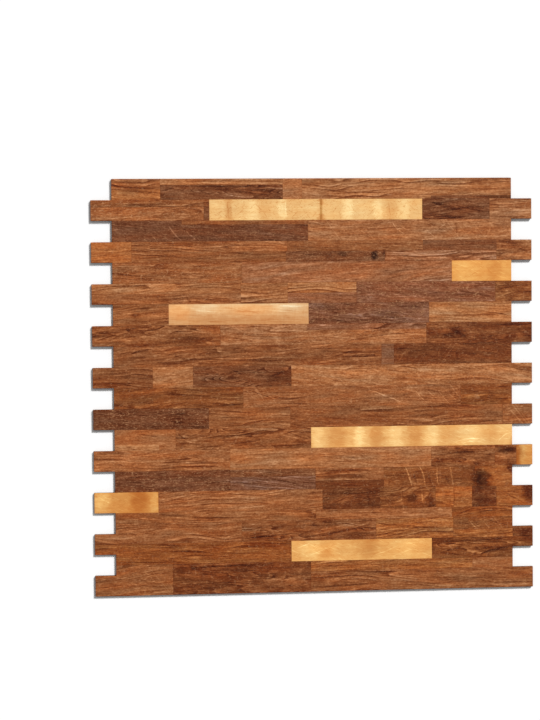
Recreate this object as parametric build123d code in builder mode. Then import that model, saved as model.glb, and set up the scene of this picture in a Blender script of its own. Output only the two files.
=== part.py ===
"""Self-adhesive wall panel: one flat decor sheet whose left and right edges are cut into square fingers.

The panel lies on its back. X runs along the strips, Y up the wall when the panel is fixed, and Z out of the
decorative face. The origin is the middle of the adhesive back.

Rows of strips are counted from the top edge. Odd rows are short and end at the notch floors; even rows are long
and end in a finger at both edges. With an even number of rows, a neighbour turned by half a turn has its long
rows where this panel has its short ones, so the fingers of the two interlock with both edges level.
"""

import os
from math import isclose

from build123d import *

# Driving dimensions, in millimetres
row_count = 20  # an even number, so that a half turn swaps long and short rows
row_height = 15.0
short_row_length = 290.0
finger_depth = 15.0  # how far a long row reaches past a short one, at each edge
panel_thickness = 3.0
joint_clearance = 0.1  # gap at each flank of a finger pushed into a neighbour's notch
corner_radius = 1.0  # rounding of the cut at every outward corner
face_edge_chamfer = 0.3  # eased rim round the decorative face

# Sizes that follow
panel_height = row_count * row_height
long_row_length = short_row_length + 2 * finger_depth
notch_rows = (row_count + 1) // 2
notch_height = row_height + 2 * joint_clearance
notch_spacing_x = short_row_length + finger_depth
notch_spacing_y = 2 * row_height
top_row_y = (panel_height - row_height) / 2
notch_pattern_centre = (0, top_row_y - (notch_rows - 1) * row_height)  # the top row is a notch row


def is_outward(corner):
    """True for a corner of the outline at a finger's tip or on the top or bottom edge."""
    at_tip = isclose(abs(corner.X), long_row_length / 2)
    at_edge = isclose(abs(corner.Y), panel_height / 2)
    return at_tip or at_edge


with BuildPart() as wall_panel:
    with BuildSketch() as outline:
        Rectangle(long_row_length, panel_height)
        with Locations(notch_pattern_centre):
            with GridLocations(notch_spacing_x, notch_spacing_y, 2, notch_rows):
                Rectangle(finger_depth, notch_height, mode=Mode.SUBTRACT)
        fillet(outline.vertices().filter_by(is_outward), radius=corner_radius)
    extrude(amount=panel_thickness)
    decor_face = wall_panel.faces().sort_by(Axis.Z)[-1]
    chamfer(decor_face.outer_wire().edges(), length=face_edge_chamfer)

wall_panel.part.label = "wall_panel"

os.makedirs("parts", exist_ok=True)
export_step(wall_panel.part, "parts/wall_panel.step")

finger_height = notch_spacing_y - notch_height
print(f"panel {long_row_length:g} x {panel_height:g} x {panel_thickness:g} mm")
print(f"fingers {finger_height:g} mm high and {finger_depth:g} mm deep, notches {notch_height:g} mm high")
print(f"volume {wall_panel.part.volume / 1000:.2f} cm3, {len(wall_panel.part.faces())} faces")
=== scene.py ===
# %% [markdown]
# A self-adhesive wall panel, lying on its back. It is a thin board whose face shows rows of walnut strips
# with a few maple ones among them, and whose left and right edges are cut into square fingers. The packed
# solid is the fixed frame: it gives the place and the size, and this lesson gives the panel its wood.

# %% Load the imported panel
from math import radians

import bpy
import numpy as np
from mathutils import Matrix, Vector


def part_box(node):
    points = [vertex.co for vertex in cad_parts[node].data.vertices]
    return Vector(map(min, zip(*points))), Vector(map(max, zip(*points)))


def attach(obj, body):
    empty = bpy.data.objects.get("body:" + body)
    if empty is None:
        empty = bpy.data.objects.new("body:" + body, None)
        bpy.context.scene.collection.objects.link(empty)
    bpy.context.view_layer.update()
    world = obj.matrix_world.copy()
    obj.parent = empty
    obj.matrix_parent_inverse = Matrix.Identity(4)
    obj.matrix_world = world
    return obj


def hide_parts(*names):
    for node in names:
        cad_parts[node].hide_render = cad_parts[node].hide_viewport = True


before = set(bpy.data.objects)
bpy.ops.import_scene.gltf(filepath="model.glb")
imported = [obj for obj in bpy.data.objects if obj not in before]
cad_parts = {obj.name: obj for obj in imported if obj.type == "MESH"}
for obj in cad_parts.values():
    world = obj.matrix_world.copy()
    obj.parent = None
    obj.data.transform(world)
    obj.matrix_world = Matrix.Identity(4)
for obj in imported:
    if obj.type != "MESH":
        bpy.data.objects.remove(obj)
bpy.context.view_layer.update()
panel_low, panel_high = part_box("wall_panel")
print("solid box in mm:", [round(1000 * v, 2) for v in (*panel_low, *panel_high)])

# %% [markdown]
# The camera looks straight down on the face, a little from the upper left. Its place was found by laying
# the panel's known corners over the corners that the photograph shows, so no lens shift is needed. The
# picture is taken to be 540 by 720, and the sensor's 36 mm lie along the longer side.

# %% Camera
camera = bpy.data.objects.new("camera", bpy.data.cameras.new("camera"))
bpy.context.scene.collection.objects.link(camera)
camera.data.lens = 75.0
camera.data.sensor_width = 36.0
camera.location = (-0.1106, 0.0540, 1.0838)
camera.rotation_euler = (radians(-1.801), radians(-4.160), radians(-0.571))
bpy.context.scene.camera = camera
print("camera", round(camera.location.z, 3), "m above the floor")

# %% [markdown]
# The strips are read row by row from the top edge. A row is one finger high, and some rows are split
# into thinner strips. Each strip has its first and last row line, its left and right end in millimetres
# from the middle, the name of a wood tone and the name of a figure, which is what a joiner calls the
# pattern of the grain. A later strip lies over an earlier one, so a short insert is listed after the strip
# that it is let into.

# %% Strips of the face
strips = [
    (0.00, 0.50, -160, -110, "copper", "streaky"),
    (0.50, 1.00, -160, -110, "amber", "plain"),
    (0.00, 0.30, -110, -22, "tan", "streaky"),
    (0.30, 1.00, -110, -22, "umber", "flame"),
    (0.00, 1.00, -22, -8, "rose tan", "plain"),
    (0.00, 1.00, -8, 160, "tan", "streaky"),
    (0.85, 1.00, 86, 128, "umber", "streaky"),
    (0.85, 1.00, 128, 160, "char", "plain"),
    (1.00, 1.35, -160, -79, "brown", "flecked"),
    (1.35, 2.00, -160, -79, "copper", "flecked"),
    (1.30, 2.00, -79, -75, "umber", "plain"),
    (1.00, 2.00, -75, 4.9, "maple cream", "feathered"),
    (1.00, 2.00, 4.9, 6.5, "maple joint", "feathered"),
    (1.00, 2.00, 6.5, 79.5, "maple cream", "feathered"),
    (1.00, 2.00, 79.5, 129, "umber", "flame"),
    (1.00, 2.00, 129, 160, "rose tan", "streaky"),
    (2.00, 3.00, -160, -4, "plum", "scratched"),
    (2.00, 2.20, -95, -4, "brown", "plain"),
    (2.00, 3.00, -4, 160, "rose tan", "scratched"),
    (3.00, 4.00, -160, -131, "amber", "plain"),
    (3.00, 4.00, -131, -19, "brown", "streaky"),
    (3.00, 3.50, -118, -19, "copper", "streaky"),
    (3.00, 3.50, -19, 80, "brown", "plain"),
    (3.00, 3.50, 80, 134, "umber", "plain"),
    (3.50, 4.00, -20, 52, "umber", "flecked"),
    (3.50, 4.00, 52, 134, "dusty rose", "streaky"),
    (3.00, 4.00, 134, 160, "copper", "mottled"),
    (4.00, 5.00, -160, -52, "hazel", "flecked"),
    (4.00, 5.00, -52, 101, "dusty rose", "plain"),
    (4.00, 5.00, 101, 160, "maple gold", "golden"),
    (5.00, 5.50, -160, -53, "tan", "streaky"),
    (5.50, 6.00, -160, -53, "hazel", "streaky"),
    (5.00, 6.00, -53, -19, "tan", "streaky"),
    (5.00, 5.50, -19, 31, "pale tan", "streaky"),
    (5.50, 6.00, -19, 31, "mushroom", "plain"),
    (5.00, 6.00, 31, 133, "cocoa", "flecked"),
    (5.00, 6.00, 133, 160, "russet", "mottled"),
    (6.00, 7.00, -160, -105, "brown", "streaky"),
    (6.00, 7.00, -105, -4, "maple tan", "striped"),
    (6.00, 7.00, -4, 84, "mole", "flecked"),
    (6.00, 7.00, 84, 160, "pale tan", "streaky"),
    (7.00, 8.00, -160, -68, "brown", "flame"),
    (7.00, 8.00, -68, 82, "rose tan", "flecked"),
    (7.00, 7.30, -5, 82, "mushroom", "streaky"),
    (7.00, 8.00, 82, 160, "mahogany", "mottled"),
    (8.00, 9.00, -160, 49, "chestnut", "streaky"),
    (8.00, 9.00, 49, 58, "ash brown", "plain"),
    (8.00, 9.00, 58, 160, "dark russet", "scratched back"),
    (9.00, 10.0, -160, -117, "chestnut", "streaky"),
    (9.00, 10.0, -117, -88, "tan", "plain"),
    (9.00, 10.0, -88, -17, "umber", "flame"),
    (9.00, 10.0, -17, 160, "tan", "flecked"),
    (10.0, 11.0, -160, -52, "russet", "streaky"),
    (10.0, 11.0, -52, 107, "hazel", "scratched"),
    (10.0, 10.5, 107, 160, "russet", "plain"),
    (10.5, 11.0, 107, 160, "sienna", "streaky"),
    (11.0, 12.0, -160, -77, "dark plum", "flecked"),
    (11.0, 12.0, -77, 138, "brown", "streaky"),
    (11.0, 12.0, -18, 33, "chestnut", "plain"),
    (11.0, 12.0, 138, 160, "brown", "scratched"),
    (12.0, 13.0, -160, -101, "copper", "plain"),
    (12.7, 13.0, -160, -113, "pale tan", "plain"),
    (12.0, 13.0, -101, -3, "brown", "flame"),
    (12.0, 13.0, -3, 160, "maple butter", "silky"),
    (13.0, 14.0, -160, -62, "copper", "streaky"),
    (13.0, 14.0, -62, 85, "tan", "plain"),
    (13.0, 14.0, 85, 132, "brown", "mottled"),
    (13.0, 14.0, 132, 148, "brown", "mottled"),
    (13.0, 14.0, 148, 160, "maple toast", "golden"),
    (14.0, 15.0, -160, -62, "plum", "flecked"),
    (14.0, 14.35, -62, 0, "umber", "flecked"),
    (14.35, 15.0, -62, 0, "mole", "streaky"),
    (14.0, 14.6, 0, 50, "hazel", "streaky"),
    (14.6, 15.0, 0, 50, "dark russet", "plain"),
    (14.0, 15.0, 50, 117, "russet", "scratched"),
    (14.0, 15.0, 117, 160, "fox", "plain"),
    (15.0, 16.0, -160, -114, "maple toast", "golden"),
    (15.0, 16.0, -114, 5, "copper", "streaky"),
    (15.0, 16.0, 5, 47, "dark russet", "mottled"),
    (15.0, 16.0, 47, 88, "russet", "mottled"),
    (15.0, 16.0, 88, 101.3, "ginger", "mottled"),
    (15.0, 16.0, 101.3, 115, "ginger", "plain"),
    (15.0, 16.0, 115, 133, "dark russet", "mottled"),
    (15.0, 16.0, 133, 160, "fox", "plain"),
    (16.0, 16.5, -160, 0, "brown", "streaky"),
    (16.0, 16.5, 0, 100, "copper", "streaky"),
    (16.0, 16.5, 100, 160, "sienna", "streaky"),
    (16.5, 17.5, -160, -54, "hazel", "streaky"),
    (16.5, 17.5, -54, 44, "chestnut", "flame"),
    (16.5, 17.5, 44, 101, "ochre", "streaky"),
    (16.5, 17.5, 101, 112, "russet", "scratched"),
    (16.5, 17.5, 112, 145, "russet", "scratched"),
    (17.1, 17.5, 101, 145, "ochre", "streaky"),
    (16.5, 17.5, 145, 160, "dark russet", "mottled"),
    (17.5, 18.5, -160, -18, "sienna", "streaky"),
    (17.5, 18.5, -18, 85, "maple honey", "golden"),
    (17.5, 18.5, 85, 160, "russet", "flame"),
    (18.5, 20.0, -160, -104, "brown", "scratched"),
    (18.5, 20.0, -104, -4, "mahogany", "mottled"),
    (18.5, 19.0, -4, 115, "ochre", "streaky"),
    (18.5, 19.0, 115, 160, "copper", "plain"),
    (19.0, 20.0, -4, 160, "brown", "streaky"),
]
print(len(strips), "strips,", sum("maple" in s[4] for s in strips), "of them maple")

# %% [markdown]
# Veins and scratches are the single strokes that the eye finds first on such a face: dark veins along the
# grain, pale threads beside them, and pale scratches that slant across a strip. They could be left to
# noise, but then they would be everywhere, so they are listed one by one. Each has its first and last end
# in millimetres, its bow, half its width in the middle and its strength in photographic stops: below zero
# it is dark, above zero it is pale.

# %% Veins and scratches of the walnut
walnut_veins = [
    (-148, 145.8, -104, 141.6, 0.4, 1.7, -0.75),
    (-152, 144.8, -105, 139.4, 0.8, 1.4, -0.75),
    (-145, 148.2, -115, 147.6, 0.3, 0.5, -0.5),
    (-140, 146.8, -112, 145.2, 0.3, 0.7, 0.25),
    (-146, 139.6, -116, 137.2, 0.4, 0.4, -0.25),
    (-108, 148.3, -40, 148.2, 0.1, 0.4, -0.8),
    (-100, 146.9, -24, 146.8, 0.2, 0.7, 0.35),
    (-70, 149.3, -24, 149.2, 0.0, 0.5, 0.3),
    (-108, 144.8, -24, 144.4, 0.2, 0.5, -0.8),
    (-75, 142.5, -40, 138.5, -0.8, 1.5, -0.6),
    (-48, 142, -24, 141, 0.4, 1.2, -0.5),
    (-105, 139.5, -80, 141, 0.5, 0.5, 0.4),
    (-70, 140, -45, 136.5, 0.6, 0.6, 0.45),
    (-60, 137.5, -30, 136.3, 0.2, 0.6, 0.4),
    (8, 141.5, 58, 140, 1.0, 0.45, -0.8),
    (28, 139, 80, 142.5, -1.0, 0.45, -0.8),
    (60, 138, 128, 140, 0.8, 0.4, -0.7),
    (85, 147.5, 143, 148.6, 0.3, 0.4, -0.6),
    (80, 145.5, 140, 144, 0.4, 0.8, 0.3),
    (-5, 146, 40, 147, 0.5, 0.8, 0.25),
    (0, 137, 60, 136.3, 0.2, 0.5, -0.6),
    (96, 142.3, 142, 141.2, -0.4, 0.4, -0.6),
    (-140, 131.5, -100, 132, 0.2, 1.2, -0.6),
    (-104, 131, -84, 130.5, 0.4, 0.35, 0.6),
    (-94, 128.5, -81, 124.5, 0.5, 0.35, 0.6),
    (-98, 124, -88, 127.5, -0.4, 0.35, 0.5),
    (-150, 124, -128, 125.5, 0.4, 0.4, 0.35),
    (-120, 122.5, -85, 121.8, 0.3, 0.5, -0.5),
    (86, 132.8, 112, 126.5, 0.8, 2.0, -0.9),
    (82, 123.5, 127, 128.8, -1.6, 1.1, -0.8),
    (83, 128.5, 124, 131.8, -0.6, 1.0, 0.55),
    (95, 121.8, 113, 121.6, 0.3, 1.2, -0.8),
    (104, 130, 127, 125.5, 0.6, 0.9, -0.7),
    (82, 125.5, 104, 124.3, 0.4, 0.8, 0.5),
    (131, 121.6, 159, 121.3, 0.1, 0.9, -0.8),
    (132, 128, 158, 129, 0.4, 0.4, -0.6),
    (134, 125.5, 159, 125, 0.2, 0.4, -0.5),
    (131, 131.8, 158, 131.5, 0.2, 0.5, 0.3),
    (-104, 116.5, -95, 105.8, 1.0, 0.8, 0.8),
    (-92, 113.5, -84.5, 106, 0.6, 0.7, 0.65),
    (-122, 106, -112, 108, 0.4, 0.45, 0.5),
    (-139, 116.5, -134, 109.5, 0.4, 0.4, 0.35),
    (-118, 110.5, -113, 106.5, 0.3, 0.4, 0.4),
    (-58, 114, -50, 107, 0.6, 1.4, -0.35),
    (-30, 113, -18, 110, 0.4, 0.4, 0.3),
    (-95, 117.5, -68, 117.3, 0.0, 0.45, -1.0),
    (-60, 118.5, -10, 118.7, 0.1, 0.4, -0.4),
    (57, 118.5, 66, 109.5, 0.8, 0.55, 0.7),
    (61, 117, 71, 111.5, 0.5, 0.45, 0.5),
    (30, 116, 41, 108, 0.5, 0.4, 0.35),
    (82, 113, 91, 106, 0.5, 0.4, 0.4),
    (103.5, 118.5, 104.5, 106.5, -0.8, 0.45, -0.5),
    (104, 106.6, 117, 106.2, 0.2, 0.45, 0.55),
    (86, 110, 98, 118, 0.4, 0.35, 0.35),
    (126, 106.5, 131, 117.5, 0.4, 0.4, 0.4),
    (-158, 100.5, -133, 99, 0.6, 0.4, -0.4),
    (-150, 94, -132, 96.5, 0.4, 0.4, -0.5),
    (-128, 93.5, -96, 95.5, 0.4, 0.5, -0.6),
    (-95, 93.3, -68, 91.5, -0.3, 0.5, -0.7),
    (-72, 95.3, -58, 92, 0.3, 0.5, 0.6),
    (-60, 96.3, -22, 95.3, 0.2, 0.5, -0.5),
    (-110, 91.5, -90, 91.8, 0.2, 0.5, 0.4),
    (-117, 98.3, -88, 99.3, 0.3, 0.6, -0.7),
    (-112, 102, -60, 100, 0.4, 0.7, 0.3),
    (-70, 103, -24, 101.5, 0.3, 0.4, -0.5),
    (-100, 104, -70, 104.2, 0.1, 0.4, -0.4),
    (-15, 101, 30, 99.5, 0.4, 0.4, -0.4),
    (20, 103.5, 75, 102.5, 0.3, 0.4, -0.5),
    (88, 101, 120, 102.5, 0.5, 0.8, -0.4),
    (9, 96, 17, 93.5, 0.3, 0.8, -0.6),
    (-10, 95.5, 15, 94.5, 0.3, 0.5, -0.5),
    (55, 96.5, 100, 94.8, 0.6, 0.6, 0.5),
    (80, 91.8, 101, 92.2, -0.4, 0.9, 0.6),
    (60, 93.6, 112, 93.4, 0.3, 0.4, -0.8),
    (70, 95.3, 128, 96.8, -0.4, 0.4, -0.6),
    (104, 92.5, 132, 91.8, 0.2, 0.4, -0.5),
    (150, 99, 159, 96, 0.4, 0.8, -0.6),
    (140, 94.5, 156, 93, 0.3, 0.5, 0.4),
    (-142, 82, -125, 83.5, 0.5, 1.4, -0.4),
    (-106, 80, -93, 82.8, 0.4, 0.4, 0.5),
    (-84, 79.5, -76, 80.3, 0.2, 1.3, -0.5),
    (-62, 84.5, -53, 79.5, 0.5, 0.4, 0.45),
    (-130, 78, -90, 77, 0.3, 0.5, -0.4),
    (48, 78.3, 100, 76.5, 0.6, 0.4, -0.5),
    (15, 82, 70, 80, 0.6, 0.4, -0.4),
    (-40, 84, 0, 82.5, 0.4, 0.4, -0.35),
    (60, 86, 98, 84.5, 0.3, 0.4, -0.4),
    (-157, 72.5, -118, 73.4, -0.6, 0.6, -0.8),
    (-158, 70.0, -100, 72.6, 0.6, 2.2, 0.18),
    (-125, 69, -85, 69.5, 0.3, 0.5, -0.5),
    (-100, 73, -60, 71.8, 0.4, 0.5, -0.5),
    (-128, 65.5, -88, 66.8, 0.3, 0.8, -0.5),
    (-92, 65.5, -88.5, 60.8, 0.2, 1.4, -0.5),
    (-80, 63, -56, 64.5, 0.3, 0.5, -0.5),
    (-52, 69, -30, 66, -0.3, 1.1, -0.45),
    (-45, 71.5, -21, 70, 0.3, 0.5, -0.4),
    (-15, 72, 30, 71.3, 0.3, 0.4, -0.4),
    (36, 66, 48, 66, 0.0, 0.35, 0.8),
    (37, 64, 47, 63.8, 0.0, 0.35, 0.65),
    (74, 71.5, 86, 66.5, 0.5, 0.4, 0.5),
    (60, 67.5, 70, 63, 0.4, 0.4, 0.45),
    (104, 68.5, 126, 65.3, 0.5, 0.9, -0.5),
    (62, 72.6, 100, 71.2, 0.3, 0.5, -0.4),
    (45, 70, 60, 72, 0.3, 0.4, 0.35),
    (88, 62.5, 118, 62, 0.2, 0.4, -0.4),
    (135, 68.5, 158, 72.5, -0.5, 0.8, -0.8),
    (140, 63.5, 155, 66.5, 0.3, 0.6, -0.5),
    (-144, 50, -110, 47.3, 0.4, 0.5, -0.6),
    (-143, 54, -120, 53.5, 0.3, 0.5, 0.3),
    (-135, 47.3, -112, 46.8, 0.2, 0.5, 0.35),
    (18, 50.6, 36, 50.2, 0.1, 0.4, -0.6),
    (22, 49.6, 33, 49.7, 0.0, 0.3, 0.55),
    (4, 47.2, 34, 46.6, 0.2, 0.7, -0.5),
    (44, 53.3, 82, 52.4, 0.3, 0.4, -0.5),
    (0, 55, 40, 56.5, 0.4, 0.5, -0.4),
    (50, 57.5, 82, 57, 0.2, 0.6, -0.5),
    (88, 50.4, 142, 50.8, 0.5, 0.9, -0.8),
    (108, 53, 144, 50.4, -0.4, 0.4, -0.7),
    (82, 55.8, 112, 53.4, -0.4, 2.4, 0.3),
    (90, 58.4, 142, 56.5, 0.3, 0.4, -0.6),
    (112, 57.8, 143, 55.2, 0.3, 0.8, 0.3),
    (100, 46.3, 142, 47.8, 0.4, 0.8, 0.25),
    (88, 47.6, 130, 46.2, -0.3, 0.4, -0.5),
    (-158, 40.5, -140, 37, -0.4, 1.2, -0.7),
    (-150, 42.5, -110, 41.5, 0.4, 0.7, -0.5),
    (-115, 37, -69, 36, 0.8, 1.6, -0.6),
    (-146, 33.2, -110, 32.2, 0.4, 1.0, 0.45),
    (-130, 36.5, -112, 38.5, 0.4, 0.7, 0.45),
    (-100, 33.5, -75, 33, 0.3, 0.8, 0.35),
    (-105, 40.3, -80, 39.5, 0.3, 0.6, 0.3),
    (-62, 38.8, -15, 35.5, 0.8, 0.4, -0.7),
    (-66, 32.5, -30, 35, -0.6, 0.4, -0.6),
    (0, 36.5, 40, 33, 0.6, 0.4, -0.6),
    (18, 31, 80, 38, -1.6, 0.45, -0.8),
    (44, 31.6, 82, 33.5, -0.4, 0.4, -0.6),
    (58, 38.6, 82, 36, 0.3, 0.7, 0.3),
    (-30, 33, 5, 31.5, 0.3, 0.4, -0.5),
    (3, 43.9, 13, 43.6, 0.0, 0.7, 0.8),
    (35, 42, 41, 43.2, 0.2, 0.5, 0.6),
    (10, 41.5, 60, 41.7, 0.2, 0.6, -0.5),
    (98, 41, 112, 33, -0.8, 2.2, -0.6),
    (94, 36.5, 104, 34, 0.4, 1.5, -0.6),
    (113, 38.4, 122, 36.8, 0.3, 0.4, 0.7),
    (112, 35.2, 119, 33.6, 0.2, 0.4, 0.6),
    (134, 43, 160, 43.4, 0.1, 1.0, -0.8),
    (88, 42.5, 104, 41.5, 0.3, 0.5, 0.35),
    (118, 41, 130, 38.5, 0.4, 0.4, 0.4),
    (-133, 24.5, -118, 28, -0.5, 1.3, -0.9),
    (-122, 23, -90, 24.5, 0.5, 1.0, 0.45),
    (-112, 27.4, -104, 25, 0.3, 0.8, 0.5),
    (-76, 27, -63, 25.5, 0.3, 0.7, 0.5),
    (-110, 17.3, -66, 19, 0.4, 0.6, -0.6),
    (-100, 20.5, -60, 22, 0.6, 1.2, -0.5),
    (5, 24.8, 48.5, 23.9, 0.3, 0.6, -0.7),
    (12, 22.8, 48.8, 22.9, 0.3, 0.8, 0.55),
    (18, 20.5, 48.8, 21, -0.4, 1.0, -1.0),
    (8, 18.6, 48.8, 17.8, 0.3, 0.9, 0.4),
    (0, 27, 34, 27.3, 0.2, 0.5, -0.5),
    (-50, 20, -10, 18.5, 0.5, 0.5, -0.5),
    (67.5, 25.5, 61, 16.5, 0.3, 0.4, 0.55),
    (83, 25.5, 76, 17, 0.3, 0.4, 0.45),
    (92, 27, 90.5, 17.5, 0.3, 0.45, 0.6),
    (104, 26, 105.5, 17, 0.3, 0.9, -0.4),
    (70, 20, 74, 25, 0.2, 0.35, 0.35),
    (97, 18, 101, 26, 0.4, 1.0, -0.35),
    (120, 22, 132, 19, 0.5, 1.2, -0.35),
    (-157, 10, -130, 12, 0.5, 0.9, -0.5),
    (-150, 4.5, -122, 3, 0.4, 0.7, -0.5),
    (-140, 7, -119, 8, 0.3, 0.7, 0.4),
    (-114, 9, -92, 8.5, 0.3, 0.4, -0.3),
    (-61, 12.5, -52, 8, -0.5, 1.1, -0.8),
    (-46, 10, -35, 13, -0.5, 1.0, -0.7),
    (-32, 7.5, -21, 12, 0.5, 1.1, -0.8),
    (-82, 7.5, -60, 4, 0.5, 0.8, -0.5),
    (-49, 6.5, -40, 9.8, 0.3, 0.7, 0.5),
    (-75, 12, -64, 10, 0.3, 0.6, 0.4),
    (-40, 3.5, -22, 5, 0.4, 0.8, -0.6),
    (-58, 3.5, -46, 2.5, 0.2, 0.6, 0.4),
    (59, 13.8, 78, 11, -0.4, 0.6, -1.1),
    (0, 3, 42, 8, 1.0, 0.4, -0.6),
    (38, 4, 43.5, 9.5, 0.3, 0.5, 0.35),
    (50, 11.5, 70, 8.5, 0.3, 0.4, -0.5),
    (106, 12.6, 113, 10.2, 0.0, 0.35, 0.55),
    (110, 12.9, 117, 10.4, 0.0, 0.35, -0.6),
    (115, 12.6, 121, 10.2, 0.0, 0.35, 0.55),
    (120, 12.8, 127, 10.2, 0.0, 0.35, -0.6),
    (125, 12.2, 132, 9.8, 0.0, 0.35, 0.5),
    (90, 5, 140, 4, 0.5, 0.4, -0.4),
    (20, 13, 50, 12, 0.3, 0.4, -0.5),
    (-112, -4, -70, -6, 0.5, 0.5, -0.5),
    (-72, -13.2, -53, -12, 0.3, 1.4, -0.6),
    (-66.5, -10.5, -60, -12.5, 0.2, 0.5, 0.55),
    (-140, -9.5, -100, -11, 0.4, 0.6, -0.4),
    (-135, -3, -105, -2.2, 0.3, 0.6, 0.35),
    (-51, -1.5, -27, -11, -0.6, 0.5, -0.9),
    (-31, -8, -11, -9, 0.4, 1.1, -0.9),
    (-38, -4, 2, -4.6, 0.4, 0.4, -0.6),
    (-27, -12.3, 2, -12.6, 0.2, 0.7, -0.7),
    (-26, -10.2, -12, -10, 0.2, 0.7, 0.4),
    (38, -3, 66.5, -14.5, -0.7, 0.5, 0.9),
    (44, -4.5, 58, -11, 0.3, 0.4, 0.5),
    (72.5, -3.5, 83, -14, 0.4, 0.45, 0.65),
    (82, -3.5, 88, -9.5, 0.3, 0.4, 0.55),
    (90, -3, 98.5, -14, 0.5, 0.45, 0.6),
    (95.5, -4, 106, -13, 0.5, 0.4, 0.5),
    (15, -8.5, 55, -12.8, 0.6, 0.4, -0.6),
    (110, -4, 125, -6, 0.4, 0.8, -0.4),
    (134, -1.8, 144, -2.6, 0.2, 0.9, -0.8),
    (110, -12, 143, -13, 0.3, 0.5, -0.5),
    (-105, -24.3, -94, -25, 0.2, 1.1, -0.8),
    (-101, -19.5, -91, -17.3, 0.3, 1.5, -0.6),
    (-131, -18, -123, -20, 0.3, 1.4, -0.5),
    (-150, -24, -136, -26.5, 0.3, 0.9, -0.35),
    (-118, -27.3, -84, -27, 0.2, 0.5, -0.4),
    (-62, -21.5, -24, -25.5, 0.5, 0.45, -0.6),
    (-72, -27, -40, -28, 0.3, 0.5, -0.5),
    (-36, -25.5, -19, -28.8, 0.3, 0.5, -0.6),
    (82, -26.3, 99, -22.3, -0.5, 0.5, 0.8),
    (38, -21, 70, -23, 0.3, 0.4, 0.55),
    (100, -24.4, 129, -25.6, 0.3, 0.45, 0.65),
    (60, -24.5, 90, -25.2, 0.2, 0.4, 0.45),
    (108, -28.2, 137, -26.4, 0.3, 0.7, -0.8),
    (58, -27, 86, -28.5, 0.3, 0.5, -0.6),
    (100, -19.8, 137, -21.2, 0.3, 0.4, -0.5),
    (40, -18, 80, -18.8, 0.3, 0.4, -0.4),
    (-5, -20, 32, -26, 0.5, 0.4, -0.5),
    (-12, -26.5, 20, -28, 0.3, 0.4, -0.4),
    (-129, -33.5, -112, -35.5, -0.4, 0.5, -0.8),
    (-140, -38, -115, -37, 0.3, 0.4, -0.4),
    (-100, -32.5, -93, -37.5, 0.6, 0.8, -0.9),
    (-92, -36.3, -83, -33, -0.3, 0.5, -0.7),
    (-95, -37.8, -86, -40.3, 0.4, 0.8, 0.5),
    (-69, -37.5, -30, -33, -1.0, 0.6, -0.8),
    (-61, -41, -37, -38, 0.4, 0.6, -0.7),
    (-36, -43.3, -6, -42, 0.4, 1.0, -0.7),
    (-56, -35.5, -40, -40, 0.5, 0.7, 0.4),
    (-26, -34.5, -12, -37.8, 0.4, 0.6, 0.55),
    (-21, -32.5, -5, -38.3, 0.6, 0.8, -0.8),
    (-84, -42, -64, -42.6, 0.2, 0.6, -0.5),
    (-159, -50.7, -139, -51, 0.2, 1.2, -0.6),
    (-112, -53.6, -95, -53.2, 0.2, 1.0, -0.9),
    (-97, -53, -69, -54.2, 0.3, 0.6, -0.8),
    (-133, -48.2, -118, -47, 0.3, 0.5, -0.7),
    (-101, -57.2, -65, -57.4, 0.2, 0.6, -0.9),
    (-106, -55.4, -71, -55.6, 0.2, 0.7, 0.5),
    (-139, -49.2, -124, -48.8, 0.2, 0.6, 0.45),
    (-110, -50.2, -80, -48.5, 0.4, 0.4, -0.6),
    (-145, -55.5, -118, -56.2, 0.3, 0.5, -0.4),
    (0, -51, 42, -52.5, 0.4, 0.4, -0.6),
    (8, -55.2, 36, -54.6, 0.3, 0.5, -0.6),
    (-50, -49, -20, -50.5, 0.3, 0.4, -0.4),
    (45, -49, 80, -50.5, 0.4, 0.4, -0.4),
    (-40, -57, 0, -57.8, 0.2, 0.5, -0.4),
    (87, -50, 130, -49, 0.5, 1.2, -0.6),
    (86, -54, 101, -55.2, 0.3, 0.7, -0.5),
    (100, -56, 131, -53, 0.4, 0.6, -0.5),
    (89, -57.5, 101, -59.5, 0.2, 0.5, 0.45),
    (-90, -61.5, -66, -63.5, 0.5, 0.6, -0.4),
    (-84, -66, -74, -64.5, 0.3, 1.0, -0.4),
    (-52, -62.3, -30, -61.7, 0.2, 0.8, 0.6),
    (-20, -63, -2, -63.8, 0.2, 0.5, 0.5),
    (-36, -66, -4, -72, 0.5, 0.7, -0.8),
    (-52, -66.2, -20, -68.5, 0.4, 0.6, -0.6),
    (-56, -69, -28, -73.5, 0.4, 0.5, -0.6),
    (-31, -69.2, -8, -74, 0.3, 0.5, 0.5),
    (-18, -66.5, -1, -68.5, 0.3, 0.7, -0.7),
    (-44, -67.6, -24, -70.2, 0.3, 0.4, 0.4),
    (2, -61.3, 46, -61.7, 0.3, 1.0, -0.7),
    (1, -67.9, 48, -68.5, 0.2, 0.6, 0.55),
    (5, -64.8, 42, -64.3, 0.3, 0.4, -0.5),
    (6, -71, 30, -72.5, 0.4, 0.9, -0.4),
    (65.5, -59.5, 70.5, -75.5, -0.8, 0.8, 0.95),
    (76, -59.5, 80.4, -74.5, -1.1, 0.8, 0.95),
    (89, -60, 90.5, -75, 0.5, 0.7, 0.8),
    (91.5, -63, 92, -72.5, 0.3, 0.4, 0.45),
    (99, -59.5, 101.5, -75.5, 0.5, 0.8, 0.8),
    (69, -71.6, 82, -73, 0.2, 0.7, 0.65),
    (81.5, -62.5, 91, -62, 0.2, 0.4, 0.45),
    (93.5, -61, 105, -63.3, 0.3, 0.45, 0.55),
    (55.5, -61, 61, -70.5, 0.4, 0.4, 0.45),
    (72, -64, 74.5, -73, 0.3, 1.2, -0.5),
    (83, -65, 85, -73, 0.3, 1.2, -0.5),
    (95, -66, 98, -73, 0.3, 1.2, -0.45),
    (-110, -80.4, -70, -81.2, 0.3, 0.4, -0.6),
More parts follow.
